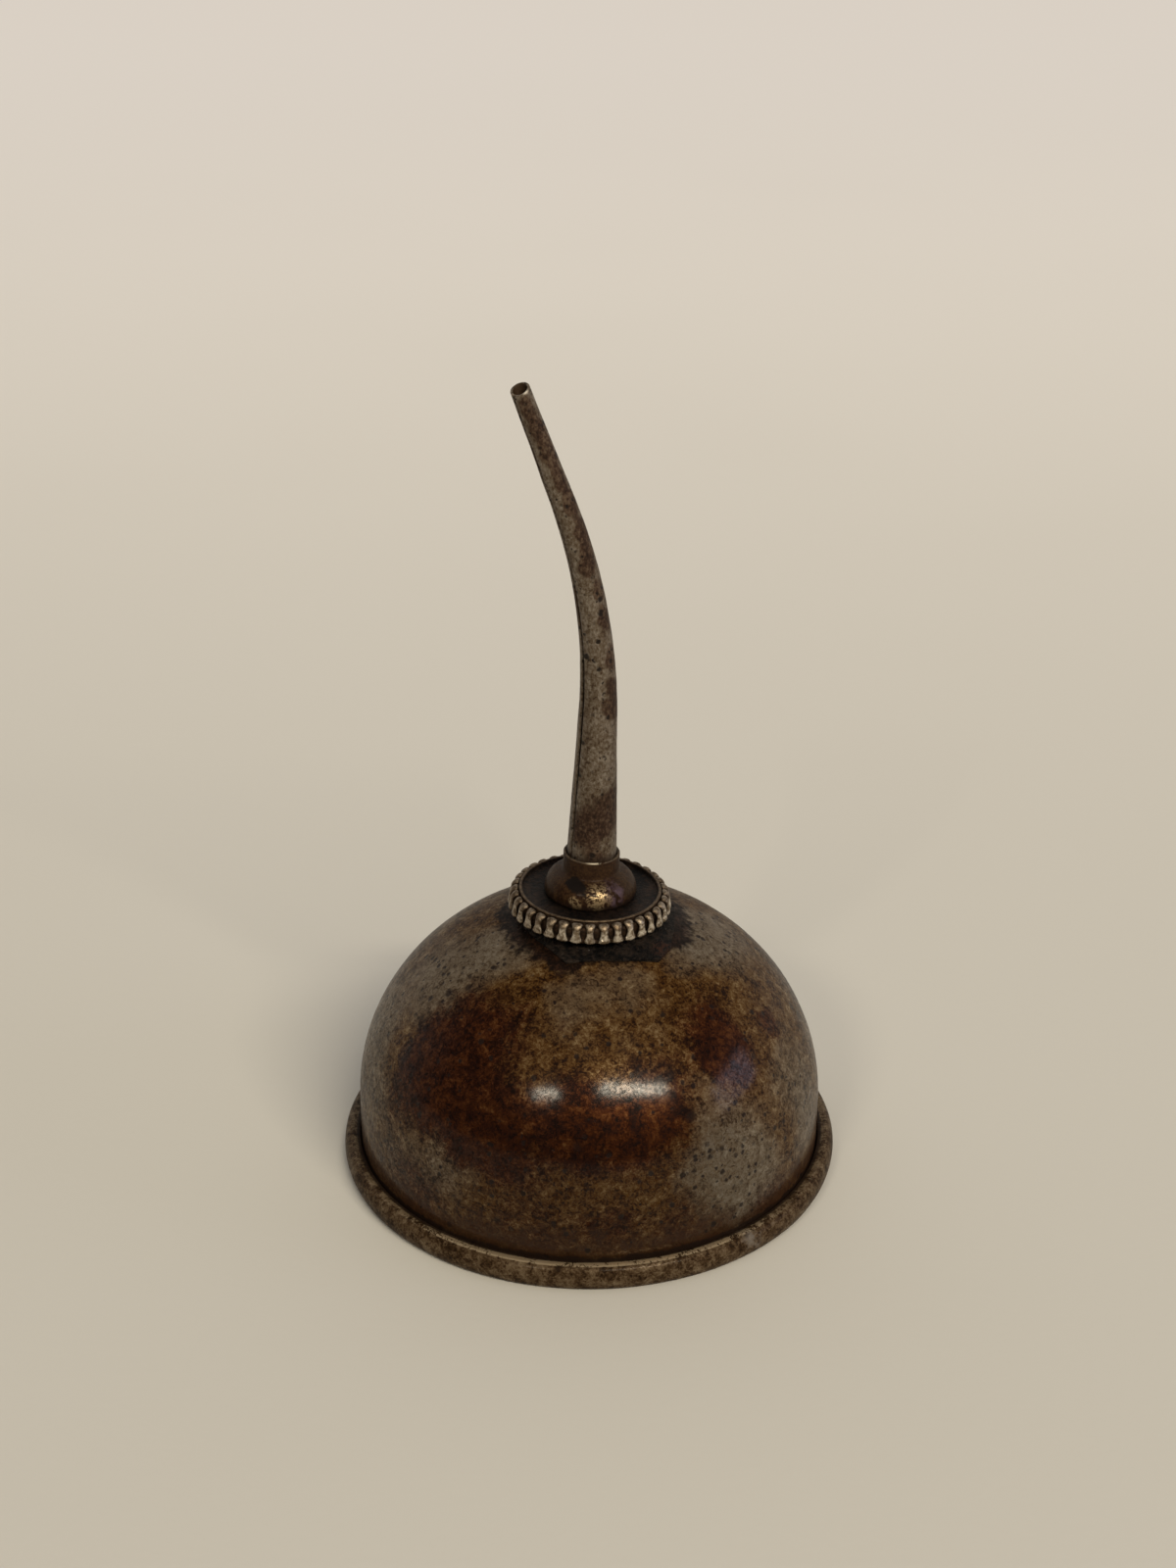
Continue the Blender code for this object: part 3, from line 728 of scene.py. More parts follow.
def makeWasher():
    hole = washer["hole"]
    rings = washer["rings"]
    points = [(hole + (washer["blank"] - hole) * i / rings, 0) for i in range(rings + 1)]
    piece = spinSection("leatherWasher", points, washer["steps"])
    startEdit()
    cuts = washer["cuts"]
    for first, second in zip(cuts, cuts[1:] + cuts[:1]):
        cutWasher(piece, first, second)
    weld()
    endEdit()
    draw = random.Random(washer["seed"])
    curl = [(math.radians(degrees), draw.uniform(0.1, 1) * washer["lift"]) for degrees, share in cuts]
    for vertex in piece.data.vertices:
        x, y = vertex.co.x / mm, vertex.co.y / mm
        radius, angle = math.hypot(x, y), math.atan2(y, x)
        under = crownOverNeck(x, y, 0)
        if radius < bush["bore"] + bush["wall"] + 2 * seatGap:
            under = max(under, 0)
        free = max(0, radius - cap["radius"]) / (washer["blank"] - cap["radius"])
        bends = [rise * max(0, math.cos(angle - corner)) ** washer["curlTightness"] for corner, rise in curl]
        lifted = sum(bends) * free
        vertex.co.z = (under + seatGap + lifted) * mm
    thicken(piece, washer["sheet"], 1)
    squeezedTop = seatGap + washer["squeezed"]
    pressed = cap["radius"] + seatGap
    for vertex in piece.data.vertices:
        radius = math.hypot(vertex.co.x, vertex.co.y) / mm
        roof = squeezedTop + max(0, radius - pressed) * washer["squeezeSlope"]
        vertex.co.z = min(vertex.co.z, roof * mm)
    easeEdges(piece, washer["edge"])
    roughen(piece, washer["lumpSize"], washer["lumpDepth"])
    settle(piece, onNeck=True)
    return piece


def makeBlackLeather():
    finish = Finish("blackLeather")
    point = finish.place(onNeck=True)
    x, y, _ = finish.parts(point)
    cloud = finish.noise(finish.warp(point, 0.5, 2), 0.45, 3)
    edges = {"feature": "DISTANCE_TO_EDGE"}
    grain = finish.node("TexVoronoi", edges, {"Vector": point, "Scale": 3.2})
    creases = finish.noise(point, 1.2, 4, 0.7, 1)
    rusty = finish.near(finish.warp(point, 1, 0.8), washer["rustyCorner"], 2.2) * creases.rise(0.44, 0.58)
    dust = finish.dots(point, 0.9, 0.1, 0.4)

    # the cut edge by its height over the shell: its worn top edge painted pale as a highlight, and a split
    # into two leaves whose dark line is painted shade
    tableX, tableY, tableZ = finish.parts(finish.place())
    outwards = (tableX * tableX + tableY * tableY) / shell["radius"] ** 2
    upwards = ((tableZ - shell["skirtHeight"]) / shell["crownHeight"]) ** 2
    overShell = ((outwards + upwards) ** 0.5 - 1) * shell["crownHeight"] + (cloud - 0.5) * 0.9
    past = ((x * x + y * y) ** 0.5).rise(cap["radius"], cap["radius"] + 0.4)
    # painted highlight: a pale line along the worn top of the cut edge
    worn = (overShell - washer["wornHighlightHeight"]).size().rise(0.16, 0.04) * past * creases.rise(0.4, 0.6)
    # painted shade: the split is a groove in the bump, painted near black
    split = (overShell - washer["splitHeight"]).size().rise(0.2, 0.08) * past

    mottle = (cloud * 0.4 + creases * 0.6).rise(0.44, 0.6)
    colour = finish.coats(
        (0.0026, 0.0022, 0.0021), ((0.021, 0.0145, 0.011), mottle),
        ((0.034, 0.0125, 0.007), rusty), ((0.05, 0.04, 0.033), worn * 0.75),
        ((0.0004, 0.0004, 0.0004), split), ((0.16, 0.15, 0.14), dust * 0.5),
    )
    roughness = 0.44 + cloud * 0.3 - creases * 0.08
    height = grain.rise(0, 0.14) * 0.4 + creases * 1.4 - split * 2.5
    return finish.surface(colour, roughness, 0, height, 0.12, Specular_IOR_Level=0.09)


# The screw cap: a turned core with a lip round its sunk floor, ribs over its shoulder, and a threaded stem

cap = {
    "radius": 7.9, "height": 2.1, "rounding": 0.85, "ribBand": 0.95, "lipWidth": 0.3, "lipStep": 0.1,
    "recess": 0.5, "floor": 0.6, "undercut": 0.15, "stemWall": 1.4, "spigot": 3.28, "ribs": 36,
    "ribDepth": 0.5, "skirt": 0.2, "lead": 0.3, "steps": 216, "seed": 3,
    "underside": seatGap + washer["squeezed"] + seatGap,
}
cap["top"] = cap["underside"] + cap["height"]
cap["lip"] = cap["radius"] - cap["ribBand"]
cap["lipInner"] = cap["lip"] - cap["lipWidth"]
cap["shoulderRadius"] = cap["radius"] - cap["rounding"]
cap["shoulderHeight"] = cap["top"] - cap["lipStep"] - cap["rounding"]
cap["floorTop"] = cap["top"] - cap["recess"]

# One rib from its foot to its head: height under the shoulder or turn over it, half width, half thickness
rib = {
    "foot": [
        (-1.13, 0.22, 0.1), (-1.07, 0.48, 0.2), (-0.93, 0.62, 0.26), (-0.73, 0.58, 0.28), (-0.5, 0.45, 0.26),
        (-0.24, 0.37, 0.25),
    ],
    "over": [
        (0, 0.36, 0.25), (18, 0.38, 0.25), (34, 0.43, 0.26), (50, 0.5, 0.28), (65, 0.56, 0.3),
        (79, 0.56, 0.28), (90, 0.48, 0.2), (97, 0.24, 0.1),
    ],
    "sides": 12, "turnSpread": 0.5, "sizeSpread": 0.03, "flare": 0.13,
}


def makeCapCore():
    lip, lipInner = cap["lip"], cap["lipInner"]
    groove = cap["rounding"] - cap["ribDepth"]
    floor = cap["floorTop"]
    underside, top = cap["underside"], cap["top"]
    stem = thread["radius"] - thread["depth"]
    bore = thread["radius"] - cap["stemWall"]
    end = -bush["stemTurns"] * thread["pitch"]
    points = [(cap["spigot"], floor), (lipInner - 0.12, floor), (lipInner - 0.03, floor + 0.05)]
    points += [(lipInner, floor + 0.14), (lipInner, top - 0.06), (lipInner + 0.05, top), (lip - 0.06, top)]
    points += [(lip, top - 0.06)]
    points += arcPoints(cap["shoulderRadius"], cap["shoulderHeight"], groove, groove, 100, 0, 10)
    foot = cap["shoulderRadius"] + groove
    skirt, seat = foot + cap["skirt"], underside + cap["undercut"]
    points += [(foot, underside + 0.35), (skirt - 0.02, underside + 0.2), (skirt, underside + 0.06)]
    points += [(skirt - 0.06, underside), (lipInner, underside), (lipInner - 0.1, seat), (stem, seat)]
    points += [(stem, end + cap["lead"]), (stem - 0.25, end), (bore, end)]
    points += [(bore, floor - cap["floor"]), (cap["spigot"], floor - cap["floor"])]
    return spinSection("capCore", points, cap["steps"], closed=True)


def ribStations():  # centre, lean and half sizes of each section
    reach = cap["rounding"] - rib["over"][0][2]
    radius, height = cap["shoulderRadius"], cap["shoulderHeight"]
    stations = []
    for drop, wide, thick in rib["foot"]:
        stations.append((radius + reach - rib["flare"] * drop, height + drop, 0, wide, thick))
    for degrees, wide, thick in rib["over"]:
        angle = math.radians(degrees)
        out, up = reach * math.cos(angle), reach * math.sin(angle)
        stations.append((radius + out, height + up, angle, wide, thick))
    return stations


def makeRib():
    stations = ribStations()
    radius, height, _, wide, thick = stations[0]
    place = inMetres(radius, 0, height)
    add = bpy.ops.mesh.primitive_circle_add
    piece = addPrimitive("capRib", add, vertices=rib["sides"], radius=mm, location=place)
    bpy.ops.object.transform_apply(location=True, rotation=False, scale=False)
    startEdit()
    bpy.ops.transform.resize(value=(thick, wide, 1), center_override=place)
    for before, after in zip(stations, stations[1:]):
        step = inMetres(after[0] - before[0], 0, after[1] - before[1])
        centre = inMetres(after[0], 0, after[1])
        bpy.ops.mesh.extrude_region_move(TRANSFORM_OT_translate={"value": step})
        if after[2] != before[2]:
            bpy.ops.transform.rotate(value=after[2] - before[2], orient_axis="Y", center_override=centre)
        thicker, wider = after[4] / before[4], after[3] / before[3]
        bpy.ops.transform.resize(value=(thicker, wider, thicker), center_override=centre)
    bpy.ops.mesh.select_non_manifold(extend=False)
    bpy.ops.mesh.merge(type="COLLAPSE")
    weld()
    endEdit()
    applyModifier(piece, "SUBSURF", levels=1, render_levels=1)
    return piece


def makeCap():
    core = makeCapCore()
    firstRib = makeRib()
    draw = random.Random(cap["seed"])
    ribs = []
    for i in range(cap["ribs"]):
        copy = firstRib.copy()
        copy.data = firstRib.data.copy()
        bpy.context.collection.objects.link(copy)
        turn = draw.uniform(-rib["turnSpread"], rib["turnSpread"])
        copy.rotation_euler = (0, 0, math.tau * i / cap["ribs"] + math.radians(turn))
        copy.scale = (1, 1 + draw.uniform(-1, 1) * rib["sizeSpread"] * 2, 1)
        ribs.append(copy)
    bpy.data.objects.remove(firstRib, do_unlink=True)
    stemStart = bushThreadStart + thread["pitch"] / 2
    crest = thread["radius"]
    ridge = windThread("stemThread", crest - thread["depth"] - thread["overlap"], crest, stemStart)
    piece = joinPieces("screwCap", [core, ridge, *ribs])
    settle(piece, onNeck=True)
    return piece


def makeWornCap():
    finish = Finish("wornCap")
    point = finish.place(onNeck=True)
    x, y, z = finish.parts(point)
    fromAxis = (x * x + y * y) ** 0.5
    outwards = fromAxis - cap["shoulderRadius"]
    upwards = (z - cap["shoulderHeight"]).most(0)
    reach = (outwards * outwards + upwards * upwards) ** 0.5
    cloud = finish.noise(finish.warp(point, 0.5, 2), 0.3, 3)
    mottle = finish.noise(point, 2.4, 4, 0.65)
    crest = reach.rise(0.62, 0.83) * outwards.rise(-0.1, 0.06)
    lip = z.rise(cap["top"] - 0.14, cap["top"] - 0.03) * fromAxis.rise(6.55, 6.66)
    under = z.rise(cap["underside"] + 0.35, cap["underside"] + 0.05)
    sunk = fromAxis.rise(6.72, 6.6) * z.rise(1.5, 2.2)
    stem = z.rise(0.7, 0.2)

    grimeAndShade = finish.mix((0.014, 0.0075, 0.004), (0.05, 0.026, 0.013), mottle.rise(0.35, 0.7))
    bright = finish.mix((0.22, 0.165, 0.11), (0.78, 0.7, 0.58), mottle.rise(0.38, 0.62))
    tarnish = finish.mix((0.075, 0.048, 0.028), (0.18, 0.13, 0.085), mottle.rise(0.35, 0.65))
    sootShare = (cloud * 0.5 + mottle * 0.5).rise(0.42, 0.64)
    nearBlack = finish.mix((0.003, 0.0022, 0.002), (0.032, 0.018, 0.012), sootShare)
    turned = finish.mix((0.1, 0.07, 0.04), (0.28, 0.22, 0.16), mottle)

    # painted highlight and shade: the ribs' worn bright metal is kept at their waists and in front, and turns
    # to tarnish on their heads, at their feet and lowest edge, on the left and behind, besides cloudy real
    # tarnish; the dark base round the ribs is grime and painted shade
    tarnishAndShade = (cloud.rise(0.48, 0.66) * 0.6 + x.rise(2, -7) * 0.6 + y.rise(-4, 6) * 0.5).least(1)
    low = z.rise(cap["shoulderHeight"] - 0.35, cap["shoulderHeight"] - 0.85)
    head = upwards.rise(0.1, 0.36)
    bright = finish.mix(bright, tarnish, (tarnishAndShade + low * 0.25 + head * 0.8).least(1) * 0.85)
    colour = finish.coats(
        grimeAndShade, (bright, crest * (1 - under * 0.7)), (tarnish, lip * fromAxis.rise(6.66, 6.78) * 0.75),
        (nearBlack, sunk * (1 - lip)), (turned, stem),
    )
    clean = crest.most(lip * 0.35).most(stem * 0.6)
    roughness = 0.56 - clean * 0.3 + mottle * 0.12 + head * clean * 0.16
    metallic = 0.8 + clean * 0.2
    pits = finish.dots(point, 2.2, 0.3, 0.4)
    height = mottle * (0.8 + sunk * 2.6) - pits * crest
    return finish.surface(colour, roughness, metallic, height, 0.03)


leatherWasher = makeWasher()
dress(leatherWasher, makeBlackLeather(), "washer", "leather_washer")
screwCap = makeCap()
dress(screwCap, makeWornCap(), "spout_cap", "screw_cap")


# The ferrule: a bell on the cap's floor whose collar holds the spout

ferrule = {
    "bellRadius": 4.5, "foot": 0.35, "bellHeight": 2.7, "fillet": 0.45, "neckStep": 0.16,
    "collarHeight": 1.6, "collarWall": 0.24, "spigot": 3.2, "oilWay": 1.8, "spoutRadius": 2.42,
    "solder": 0.08, "socket": 1.3, "throatRadius": 0.5, "throatHeight": 0.46,
    "steps": 128, "waveSize": 2.5, "waveDepth": 0.05,
}
ferrule["base"] = cap["floorTop"] + seatGap
ferrule["collarBase"] = ferrule["base"] + ferrule["bellHeight"]
ferrule["collarTop"] = ferrule["collarBase"] + ferrule["collarHeight"]
ferrule["bore"] = ferrule["spoutRadius"] + ferrule["solder"]
ferrule["collarRadius"] = ferrule["bore"] + ferrule["collarWall"]


def makeFerrule():
    base, collarBase, collarTop = ferrule["base"], ferrule["collarBase"], ferrule["collarTop"]
    bore, collar = ferrule["bore"], ferrule["collarRadius"]
    shoulder = base + ferrule["foot"]
    bellTop = collarBase - ferrule["fillet"]
    neck = collar + ferrule["neckStep"]
    floor = collarTop - ferrule["socket"] - ferrule["solder"]
    spigotEnd = cap["floorTop"] - cap["floor"]
    points = [(bore, collarTop - 0.05), (bore + 0.05, collarTop), (collar - 0.06, collarTop)]
    points += [(collar, collarTop - 0.07), (collar, collarTop - 0.6), (collar, collarBase + 0.3)]
    across, along = ferrule["throatRadius"], ferrule["throatHeight"]
    points += arcPoints(collar + across, bellTop + along, across, along, 180, 238, 6)
    points += arcPoints(neck, shoulder, ferrule["bellRadius"] - neck, bellTop - shoulder, 74, 0, 16)
    points += [(ferrule["bellRadius"] - 0.02, base + 0.12), (ferrule["bellRadius"] - 0.12, base)]
    points += [(ferrule["spigot"], base), (ferrule["spigot"], spigotEnd)]
    points += [(ferrule["oilWay"], spigotEnd), (ferrule["oilWay"], floor), (bore, floor)]
    piece = spinSection("spoutFerrule", points, ferrule["steps"], closed=True)
    roughen(piece, ferrule["waveSize"], ferrule["waveDepth"])
    settle(piece, onNeck=True)
    return piece


def makeBrownFerrule():
    finish = Finish("brownFerrule")
    point = finish.place(onNeck=True)
    z = finish.parts(point)[2]
    warped = finish.warp(point, 0.9, 1.1)
    drift = finish.noise(warped, 1.1, 4, 0.65)
    grain = finish.noise(point, 3.4, 3, 0.6, 0.8)
    mottle = (drift * 0.5 + grain * 0.5).rise(0.4, 0.64)
    upper = z.rise(4.7, 5.3) * (0.55 - grain * 0.5)
    darker = (1 - drift * 0.5 - grain * 0.5).rise(0.5, 0.6)
    # painted sheen: a grey tint at the bell's left and right sides
    grey = finish.nearest(warped, ((3.9, -1.4, 4.2), 2.8), ((-4.1, -1, 4), 2.8))
    # partly painted highlight: worn brass patches, painted gold on the bell's front where its highlights fall
    brass = finish.nearest(warped, ((0.7, -3.7, 3.9), 1.7), ((0.5, -4.3, 3.1), 1.2), ((-1.4, -4.2, 3.2), 0.8))
    goldAndHighlight = brass * (grain * 0.6 + drift * 0.4).rise(0.47, 0.56)
    violet = finish.nearest(warped, ((2.2, -3.2, 4.2), 1.5), ((2.4, -3.6, 3.2), 1)) * drift.rise(0.4, 0.6)
    scorch = finish.nearest(
        finish.warp(point, 1.6, 0.7), ((-1.75, -2.75, 4.65), 1), ((-1.15, -3.25, 4.3), 1.05),
        ((-0.6, -3.6, 4), 0.7), ((-2.4, 3.4, 3.9), 1.6),
    )
    # painted shade, with dirt mixed in: the bell's foot by the cap's floor is darkened
    nearBlack = (z + (drift - 0.5) * 1.2).rise(3.35, 2.6)

    # painted highlight: the collar's rim is painted bright in front
    litFront = finish.near(point, (0.4, -ferrule["collarRadius"], ferrule["collarTop"]), 1.2) * 0.9 + 0.1
    rim = z.rise(ferrule["collarTop"] - 0.14, ferrule["collarTop"] - 0.04) * drift.rise(0.36, 0.5) * litFront
    colour = finish.coats(
        (0.01, 0.0034, 0.0014), ((0.043, 0.021, 0.0085), mottle), ((0.038, 0.021, 0.012), upper),
        ((0.02, 0.0075, 0.0035), darker * 0.5),
        ((0.045, 0.03, 0.019), grey * 0.35), ((0.36, 0.26, 0.15), goldAndHighlight * 0.75),
        ((0.085, 0.058, 0.085), violet * 0.6), ((0.006, 0.004, 0.0035), scorch.rise(0.05, 0.6) * 0.97),
        ((0.014, 0.008, 0.006), nearBlack * 0.85), ((0.6, 0.52, 0.4), rim * 0.7),
    )
    roughness = 0.52 + drift * 0.1 + scorch * 0.2 + nearBlack * 0.2 - goldAndHighlight * 0.27 - grey * 0.1
    metallic = 0.16 + goldAndHighlight * 0.6
    height = grain * 0.5 + drift * 0.9
    return finish.surface(
        colour, roughness, metallic, height, 0.07,
        Coat_Weight=0.05, Coat_Roughness=0.2, Specular_IOR_Level=0.06,
    )


spoutFerrule = makeFerrule()
dress(spoutFerrule, makeBrownFerrule(), "spout_cap", "spout_ferrule")


# The spout: a tapered blank rolled round a bent middle line, its seam a little open

spout = {
    "foot": 2.42, "tip": 0.91, "wall": 0.24, "socket": 1.3, "straight": 14.7, "bendRadius": 56,
    "bend": math.radians(22), "end": 11.2, "flare": 1.33, "seam": 0.2, "seamBulge": 0.26, "seamReach": 0.62,
    "seamTurn": math.radians(33), "around": 96, "rows": 150, "edge": 0.1, "waveSize": 3, "waveDepth": 0.09,
    "girth": 12, "wornLength": 3, "wornDepth": 0.6, "insideMap": 2,
    # brown patches as degrees round from the seam, distance up from the collar, reach and strength
    "brown": [
        (36, 3.2, 2.6, 1), (50, 5.6, 1.8, 0.6), (112, 6.2, 2.4, 1), (100, 3.6, 1.6, 0.7),
        (60, 0.4, 1.6, 0.7), (120, 15.4, 2, 0.9), (112, 17.6, 1.8, 0.8), (118, 20.6, 1.8, 0.8),
        (84, 16, 1.2, 0.5), (110, 24.5, 1.8, 0.9), (104, 27.4, 1.7, 0.7), (66, 29.6, 1.6, 0.7),
        (92, 30.6, 2, 0.9), (100, 33, 2, 1), (96, 35.8, 2, 1), (88, 38.4, 2, 1),
        (84, 41, 2.2, 1), (76, 43.4, 2.4, 0.9), (60, 45.6, 2.2, 0.8), (210, 5, 4, 0.8),
        (250, 15, 4, 0.8), (300, 26, 4, 0.7), (220, 33, 4, 0.8), (280, 41, 4, 0.8),
    ],
}
spout["length"] = spout["straight"] + spout["bendRadius"] * spout["bend"] + spout["end"]


def spoutLine(distance):  # the middle line's x, z and lean
    base = ferrule["collarTop"]
    if distance <= spout["straight"]:
        return 0, base + distance, 0
    radius = spout["bendRadius"]
    angle = min((distance - spout["straight"]) / radius, spout["bend"])
    past = max(0, distance - spout["straight"] - radius * spout["bend"])
    x = -radius * (1 - math.cos(angle)) - past * math.sin(angle)
    z = base + spout["straight"] + radius * math.sin(angle) + past * math.cos(angle)
    return x, z, angle


def makeSpout():
    piece = addPrimitive(
        "spoutTube", bpy.ops.mesh.primitive_grid_add,
        x_subdivisions=spout["around"], y_subdivisions=spout["rows"], size=1,
    )
    length, foot = spout["length"], -spout["socket"]
    for vertex in piece.data.vertices:  # the flat blank's x goes round the tube and its y goes up it
        distance = foot + (vertex.co.y + 0.5) * (length - foot)
        up = max(0, distance) / length
        radius = spout["tip"] + (spout["foot"] - spout["tip"]) * (1 - up) ** spout["flare"]
        opened = math.sin(math.pi * min(1, up / spout["seamReach"]))
        seam = (spout["seam"] + spout["seamBulge"] * opened) / 2 / radius
        angle = math.pi + spout["seamTurn"] + seam + (vertex.co.x + 0.5) * (math.tau - 2 * seam)
        worn = max(0, 1 - (length - distance) / spout["wornLength"]) * (0.5 - 0.5 * math.sin(angle))
        x, z, lean = spoutLine(distance - worn * spout["wornDepth"])
        out = radius * math.cos(angle)
        vertex.co = inMetres(x + out * math.cos(lean), radius * math.sin(angle), z + out * math.sin(lean))
    startEdit()
    weld()
    endEdit()
    roughen(piece, spout["waveSize"], spout["waveDepth"])
    outside = len(piece.data.vertices)
    thicken(piece, spout["wall"], -1)
    rolledMap = piece.data.uv_layers.active.data
    for face in piece.data.polygons:  # the inside lies further along the blank's map
        if min(face.vertices) >= outside:
            for corner in face.loop_indices:
                rolledMap[corner].uv.x += spout["insideMap"]
    easeEdges(piece, spout["edge"])
    settle(piece, onNeck=True)
    return piece


def makeDullSpout():
    finish = Finish("dullSpout")
    point = finish.place(onNeck=True)
    z = finish.parts(point)[2]
    warped = finish.warp(point, 0.5, 1.6)
    streaks = finish.noise(finish.stretch(warped, 1, 0.25), 0.8, 4, 0.6)
    mottle = finish.noise(point, 2.6, 4, 0.65, 0.5)
    grain = finish.noise(finish.stretch(point, 1, 0.6), 4.5, 3, 0.6)

    # the blank's own map: round from the seam and up from the collar, both in millimetres
    rolled = finish.node("UVMap")
    size = (spout["girth"], spout["length"] + spout["socket"], 1)
    sockets = {"Vector": rolled, "Location": (0, -spout["socket"], 0), "Scale": size}
    onBlank = finish.warp(finish.node("Mapping", sockets=sockets), 0.8, 1.6)
    patches = finish.patches(onBlank, [
        ((degrees / 360 * spout["girth"], distance, 0), reach, strength)
        for degrees, distance, reach, strength in spout["brown"]
    ])
    brown = (patches.least(1) * 1.1 + (streaks - 0.5) * 2.2 + (mottle - 0.5) * 1.3).rise(0.2, 0.7)
    tone = (mottle - 0.5) * 1.7 + (grain - 0.5) * 1.2 + (streaks - 0.5) * 1.2 + 0.62
    bare = finish.ramp(
        tone, (0, (0.015, 0.008, 0.0045)), (0.25, (0.04, 0.0235, 0.013)), (0.5, (0.086, 0.061, 0.04)),
        (0.75, (0.126, 0.1, 0.076)), (1, (0.19, 0.16, 0.13)),
    )
    rusty = finish.ramp(
        tone, (0, (0.006, 0.0024, 0.0012)), (0.35, (0.016, 0.0066, 0.0033)), (0.6, (0.033, 0.0145, 0.0074)),
        (1, (0.08, 0.05, 0.03)),
    )
    pitPoint = finish.warp(point, 2.6, 0.35)
    clusters = finish.dots(pitPoint, 2, 0.4, 0.7) * streaks.rise(0.47, 0.58)
    pits = finish.dots(pitPoint, 0.9, 0.28, 0.6).most(clusters)
    dirt = z.rise(ferrule["collarTop"] + 0.9, ferrule["collarTop"] + 0.1)
    inside = finish.parts(rolled)[0].rise(spout["insideMap"] - 0.6, spout["insideMap"] - 0.4)

    # the cut edge has worn bright in front
    tipX, tipZ, _ = spoutLine(spout["length"] - spout["wornDepth"])
    worn = finish.near(point, (tipX + 0.35, 0.2 - spout["tip"], tipZ + 0.35), 0.42)
    colour = finish.coats(
        bare, (rusty, brown * 0.92), ((0.008, 0.0045, 0.003), pits * 0.95),
        ((0.02, 0.011, 0.007), dirt * 0.7), ((0.035, 0.019, 0.01), inside), ((0.62, 0.56, 0.48), worn),
    )
    roughness = 0.46 + mottle * 0.12 + brown * 0.08
    metallic = 0.34 - inside * 0.3
    height = mottle * 0.6 + grain * 0.5 - pits * 1.5
    return finish.surface(colour, roughness, metallic, height, 0.035, Specular_IOR_Level=0.2)


spoutTube = makeSpout()
dress(spoutTube, makeDullSpout(), "spout_cap", "spout")


# The paper under the can, and the room round it

paper = {
    "size": 8, "near": (0.55, 0.529, 0.495), "far": (0.8, 0.765, 0.715), "shade": (0.54, 0.505, 0.45),
    "paintedLightFade": (-0.05, 0.5), "glow": (0.7, 0.632, 0.553, 1),
    # the glow sets in from the first to the second distance, behind, at the sides and far in front
    "behind": (-0.05, 0.75), "aside": (0.3, 1.3), "before": (-1.2, -3),
}
room = {
    "camera": (0.1, 0.095, 0.09), "behind": (0.66, 0.64, 0.61), "above": (0.38, 0.37, 0.35),
    "seen": (0.7, 0.632, 0.553),
}


def makePaper():
    add = bpy.ops.mesh.primitive_grid_add
    piece = addPrimitive("paperSheet", add, x_subdivisions=8, y_subdivisions=8, size=paper["size"])
    finish = Finish("beigePaper")
    coordinates = finish.node("TexCoord", output="Object")
    x, y, _ = finish.parts(coordinates)
    fibre = finish.noise(coordinates, 900, 3)
    cloud = finish.noise(coordinates, 6, 2)
    shade = cloud.rise(0.4, 0.8) * 0.15
    # painted light: the paper is painted paler from near the can to further back
    colour = finish.coats(paper["near"], (paper["far"], y.rise(*paper["paintedLightFade"])), (paper["shade"], shade))
    piece.data.materials.append(finish.surface(colour, 0.85, 0, fibre, 0.02))

    # further back the paper is as pale as a backdrop, to the camera and in reflections
    output = finish.tree.nodes["Material Output"]
    lit = Wire(finish, output.inputs["Surface"].links[0].from_socket)
    glow = finish.node("Emission", sockets={"Color": paper["glow"], "Strength": 1})
    ray, bounced = finish.rays()
    far = y.rise(*paper["behind"]).most(x.size().rise(*paper["aside"])).most(y.rise(*paper["before"]))
    mixed = finish.node("MixShader", sockets={0: far * ray.most(bounced), 1: lit, 2: glow})
    finish.tree.links.new(mixed.socket, output.inputs["Surface"])


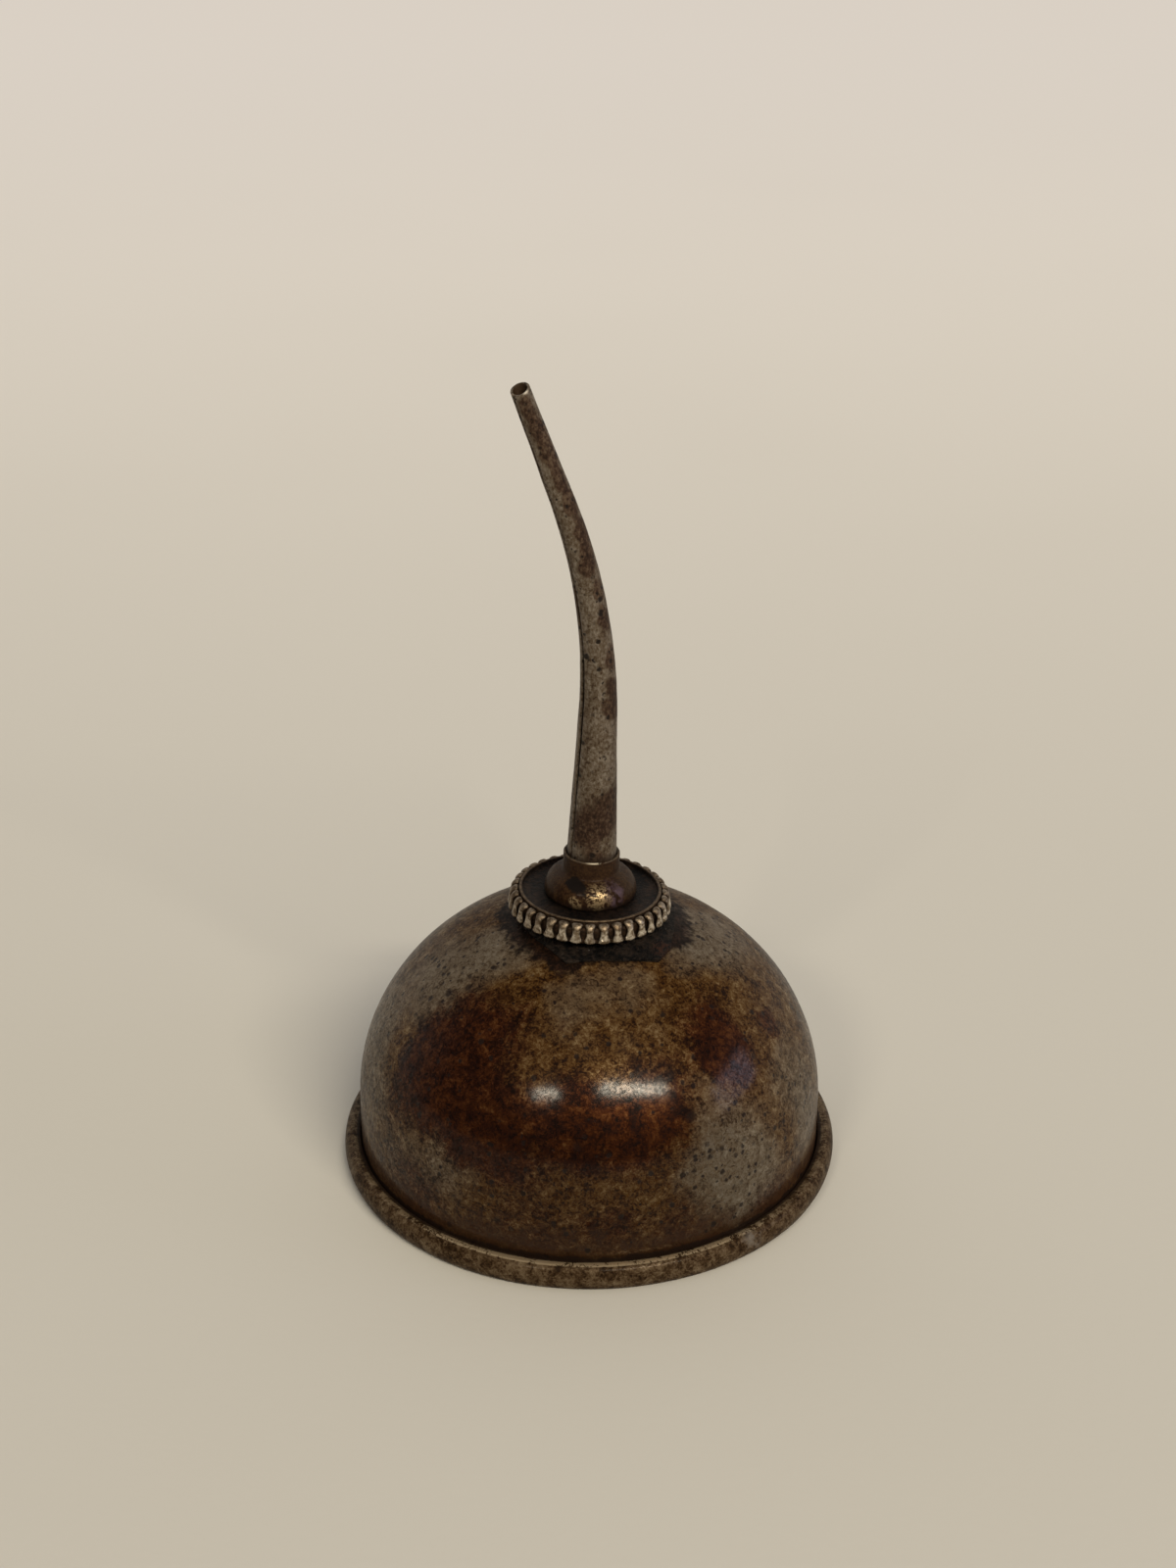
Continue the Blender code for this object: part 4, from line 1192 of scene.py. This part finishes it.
def makeRoom():
    world = bpy.data.worlds.new("room")
    bpy.context.scene.world = world
    finish = Finish("room", world)
    _, y, z = finish.parts(finish.node("TexCoord", output="Generated"))
    behind = y.rise(-0.2, 0.8)
    ray, bounced = finish.rays()
    seen = ray.most(bounced * (z.rise(0.6, 0.3) * behind))
    colour = finish.coats(
        room["camera"], (room["behind"], behind), (room["above"], z.rise(0.6, 0.95)), (room["seen"], seen)
    )
    sky = finish.node("Background", sockets={"Color": colour, "Strength": 1})
    finish.node("OutputWorld", sockets={"Surface": sky})


# Lamps as azimuth, elevation, the azimuth of the wall they're in, distance, width, height, watts and colour
lamps = {
    "leftWindow": (-116.5, 37.3, -90, 4, 0.8, 0.3, 34, (1, 0.91, 0.72)),
    "rightWindow": (-60, 39.3, -90, 4, 2.3, 0.36, 138, (1, 0.91, 0.72)),
    "sideWindow": (-8, 16, -8, 4, 1.9, 1.00, 17, (0.82, 0.82, 1)),
}


def lampWay(azimuth, elevation):
    turn, lift = math.radians(azimuth), math.radians(elevation)
    return Vector((math.cos(turn) * math.cos(lift), math.sin(turn) * math.cos(lift), math.sin(lift)))


def makeLamps():
    for name, (azimuth, elevation, wall, distance, wide, high, watts, colour) in lamps.items():
        way, facing = lampWay(azimuth, elevation), lampWay(wall, elevation)
        rotation = facing.to_track_quat("Z", "Y").to_euler()
        bpy.ops.object.light_add(type="AREA", location=way * distance, rotation=rotation)
        lamp = bpy.context.active_object
        lamp.name = name
        lamp.data.shape = "RECTANGLE"
        lamp.data.size, lamp.data.size_y = wide, high
        lamp.data.energy = watts
        lamp.data.color = colour


camera = {"place": (0, -0.2021, 0.1397), "down": 26.04, "yaw": 0.03, "lens": 54, "sensor": 36, "clip": 0.01}


def makeCamera():
    rotation = (math.radians(90 - camera["down"]), 0, math.radians(camera["yaw"]))
    bpy.ops.object.camera_add(location=camera["place"], rotation=rotation)
    made = bpy.context.active_object
    made.data.lens = camera["lens"]
    made.data.sensor_width = camera["sensor"]
    made.data.clip_start = camera["clip"]
    bpy.context.scene.camera = made


makePaper()
makeRoom()
makeLamps()
makeCamera()
bpy.context.scene.view_settings.view_transform = "Standard"
print("paper, room, lamps and camera placed")
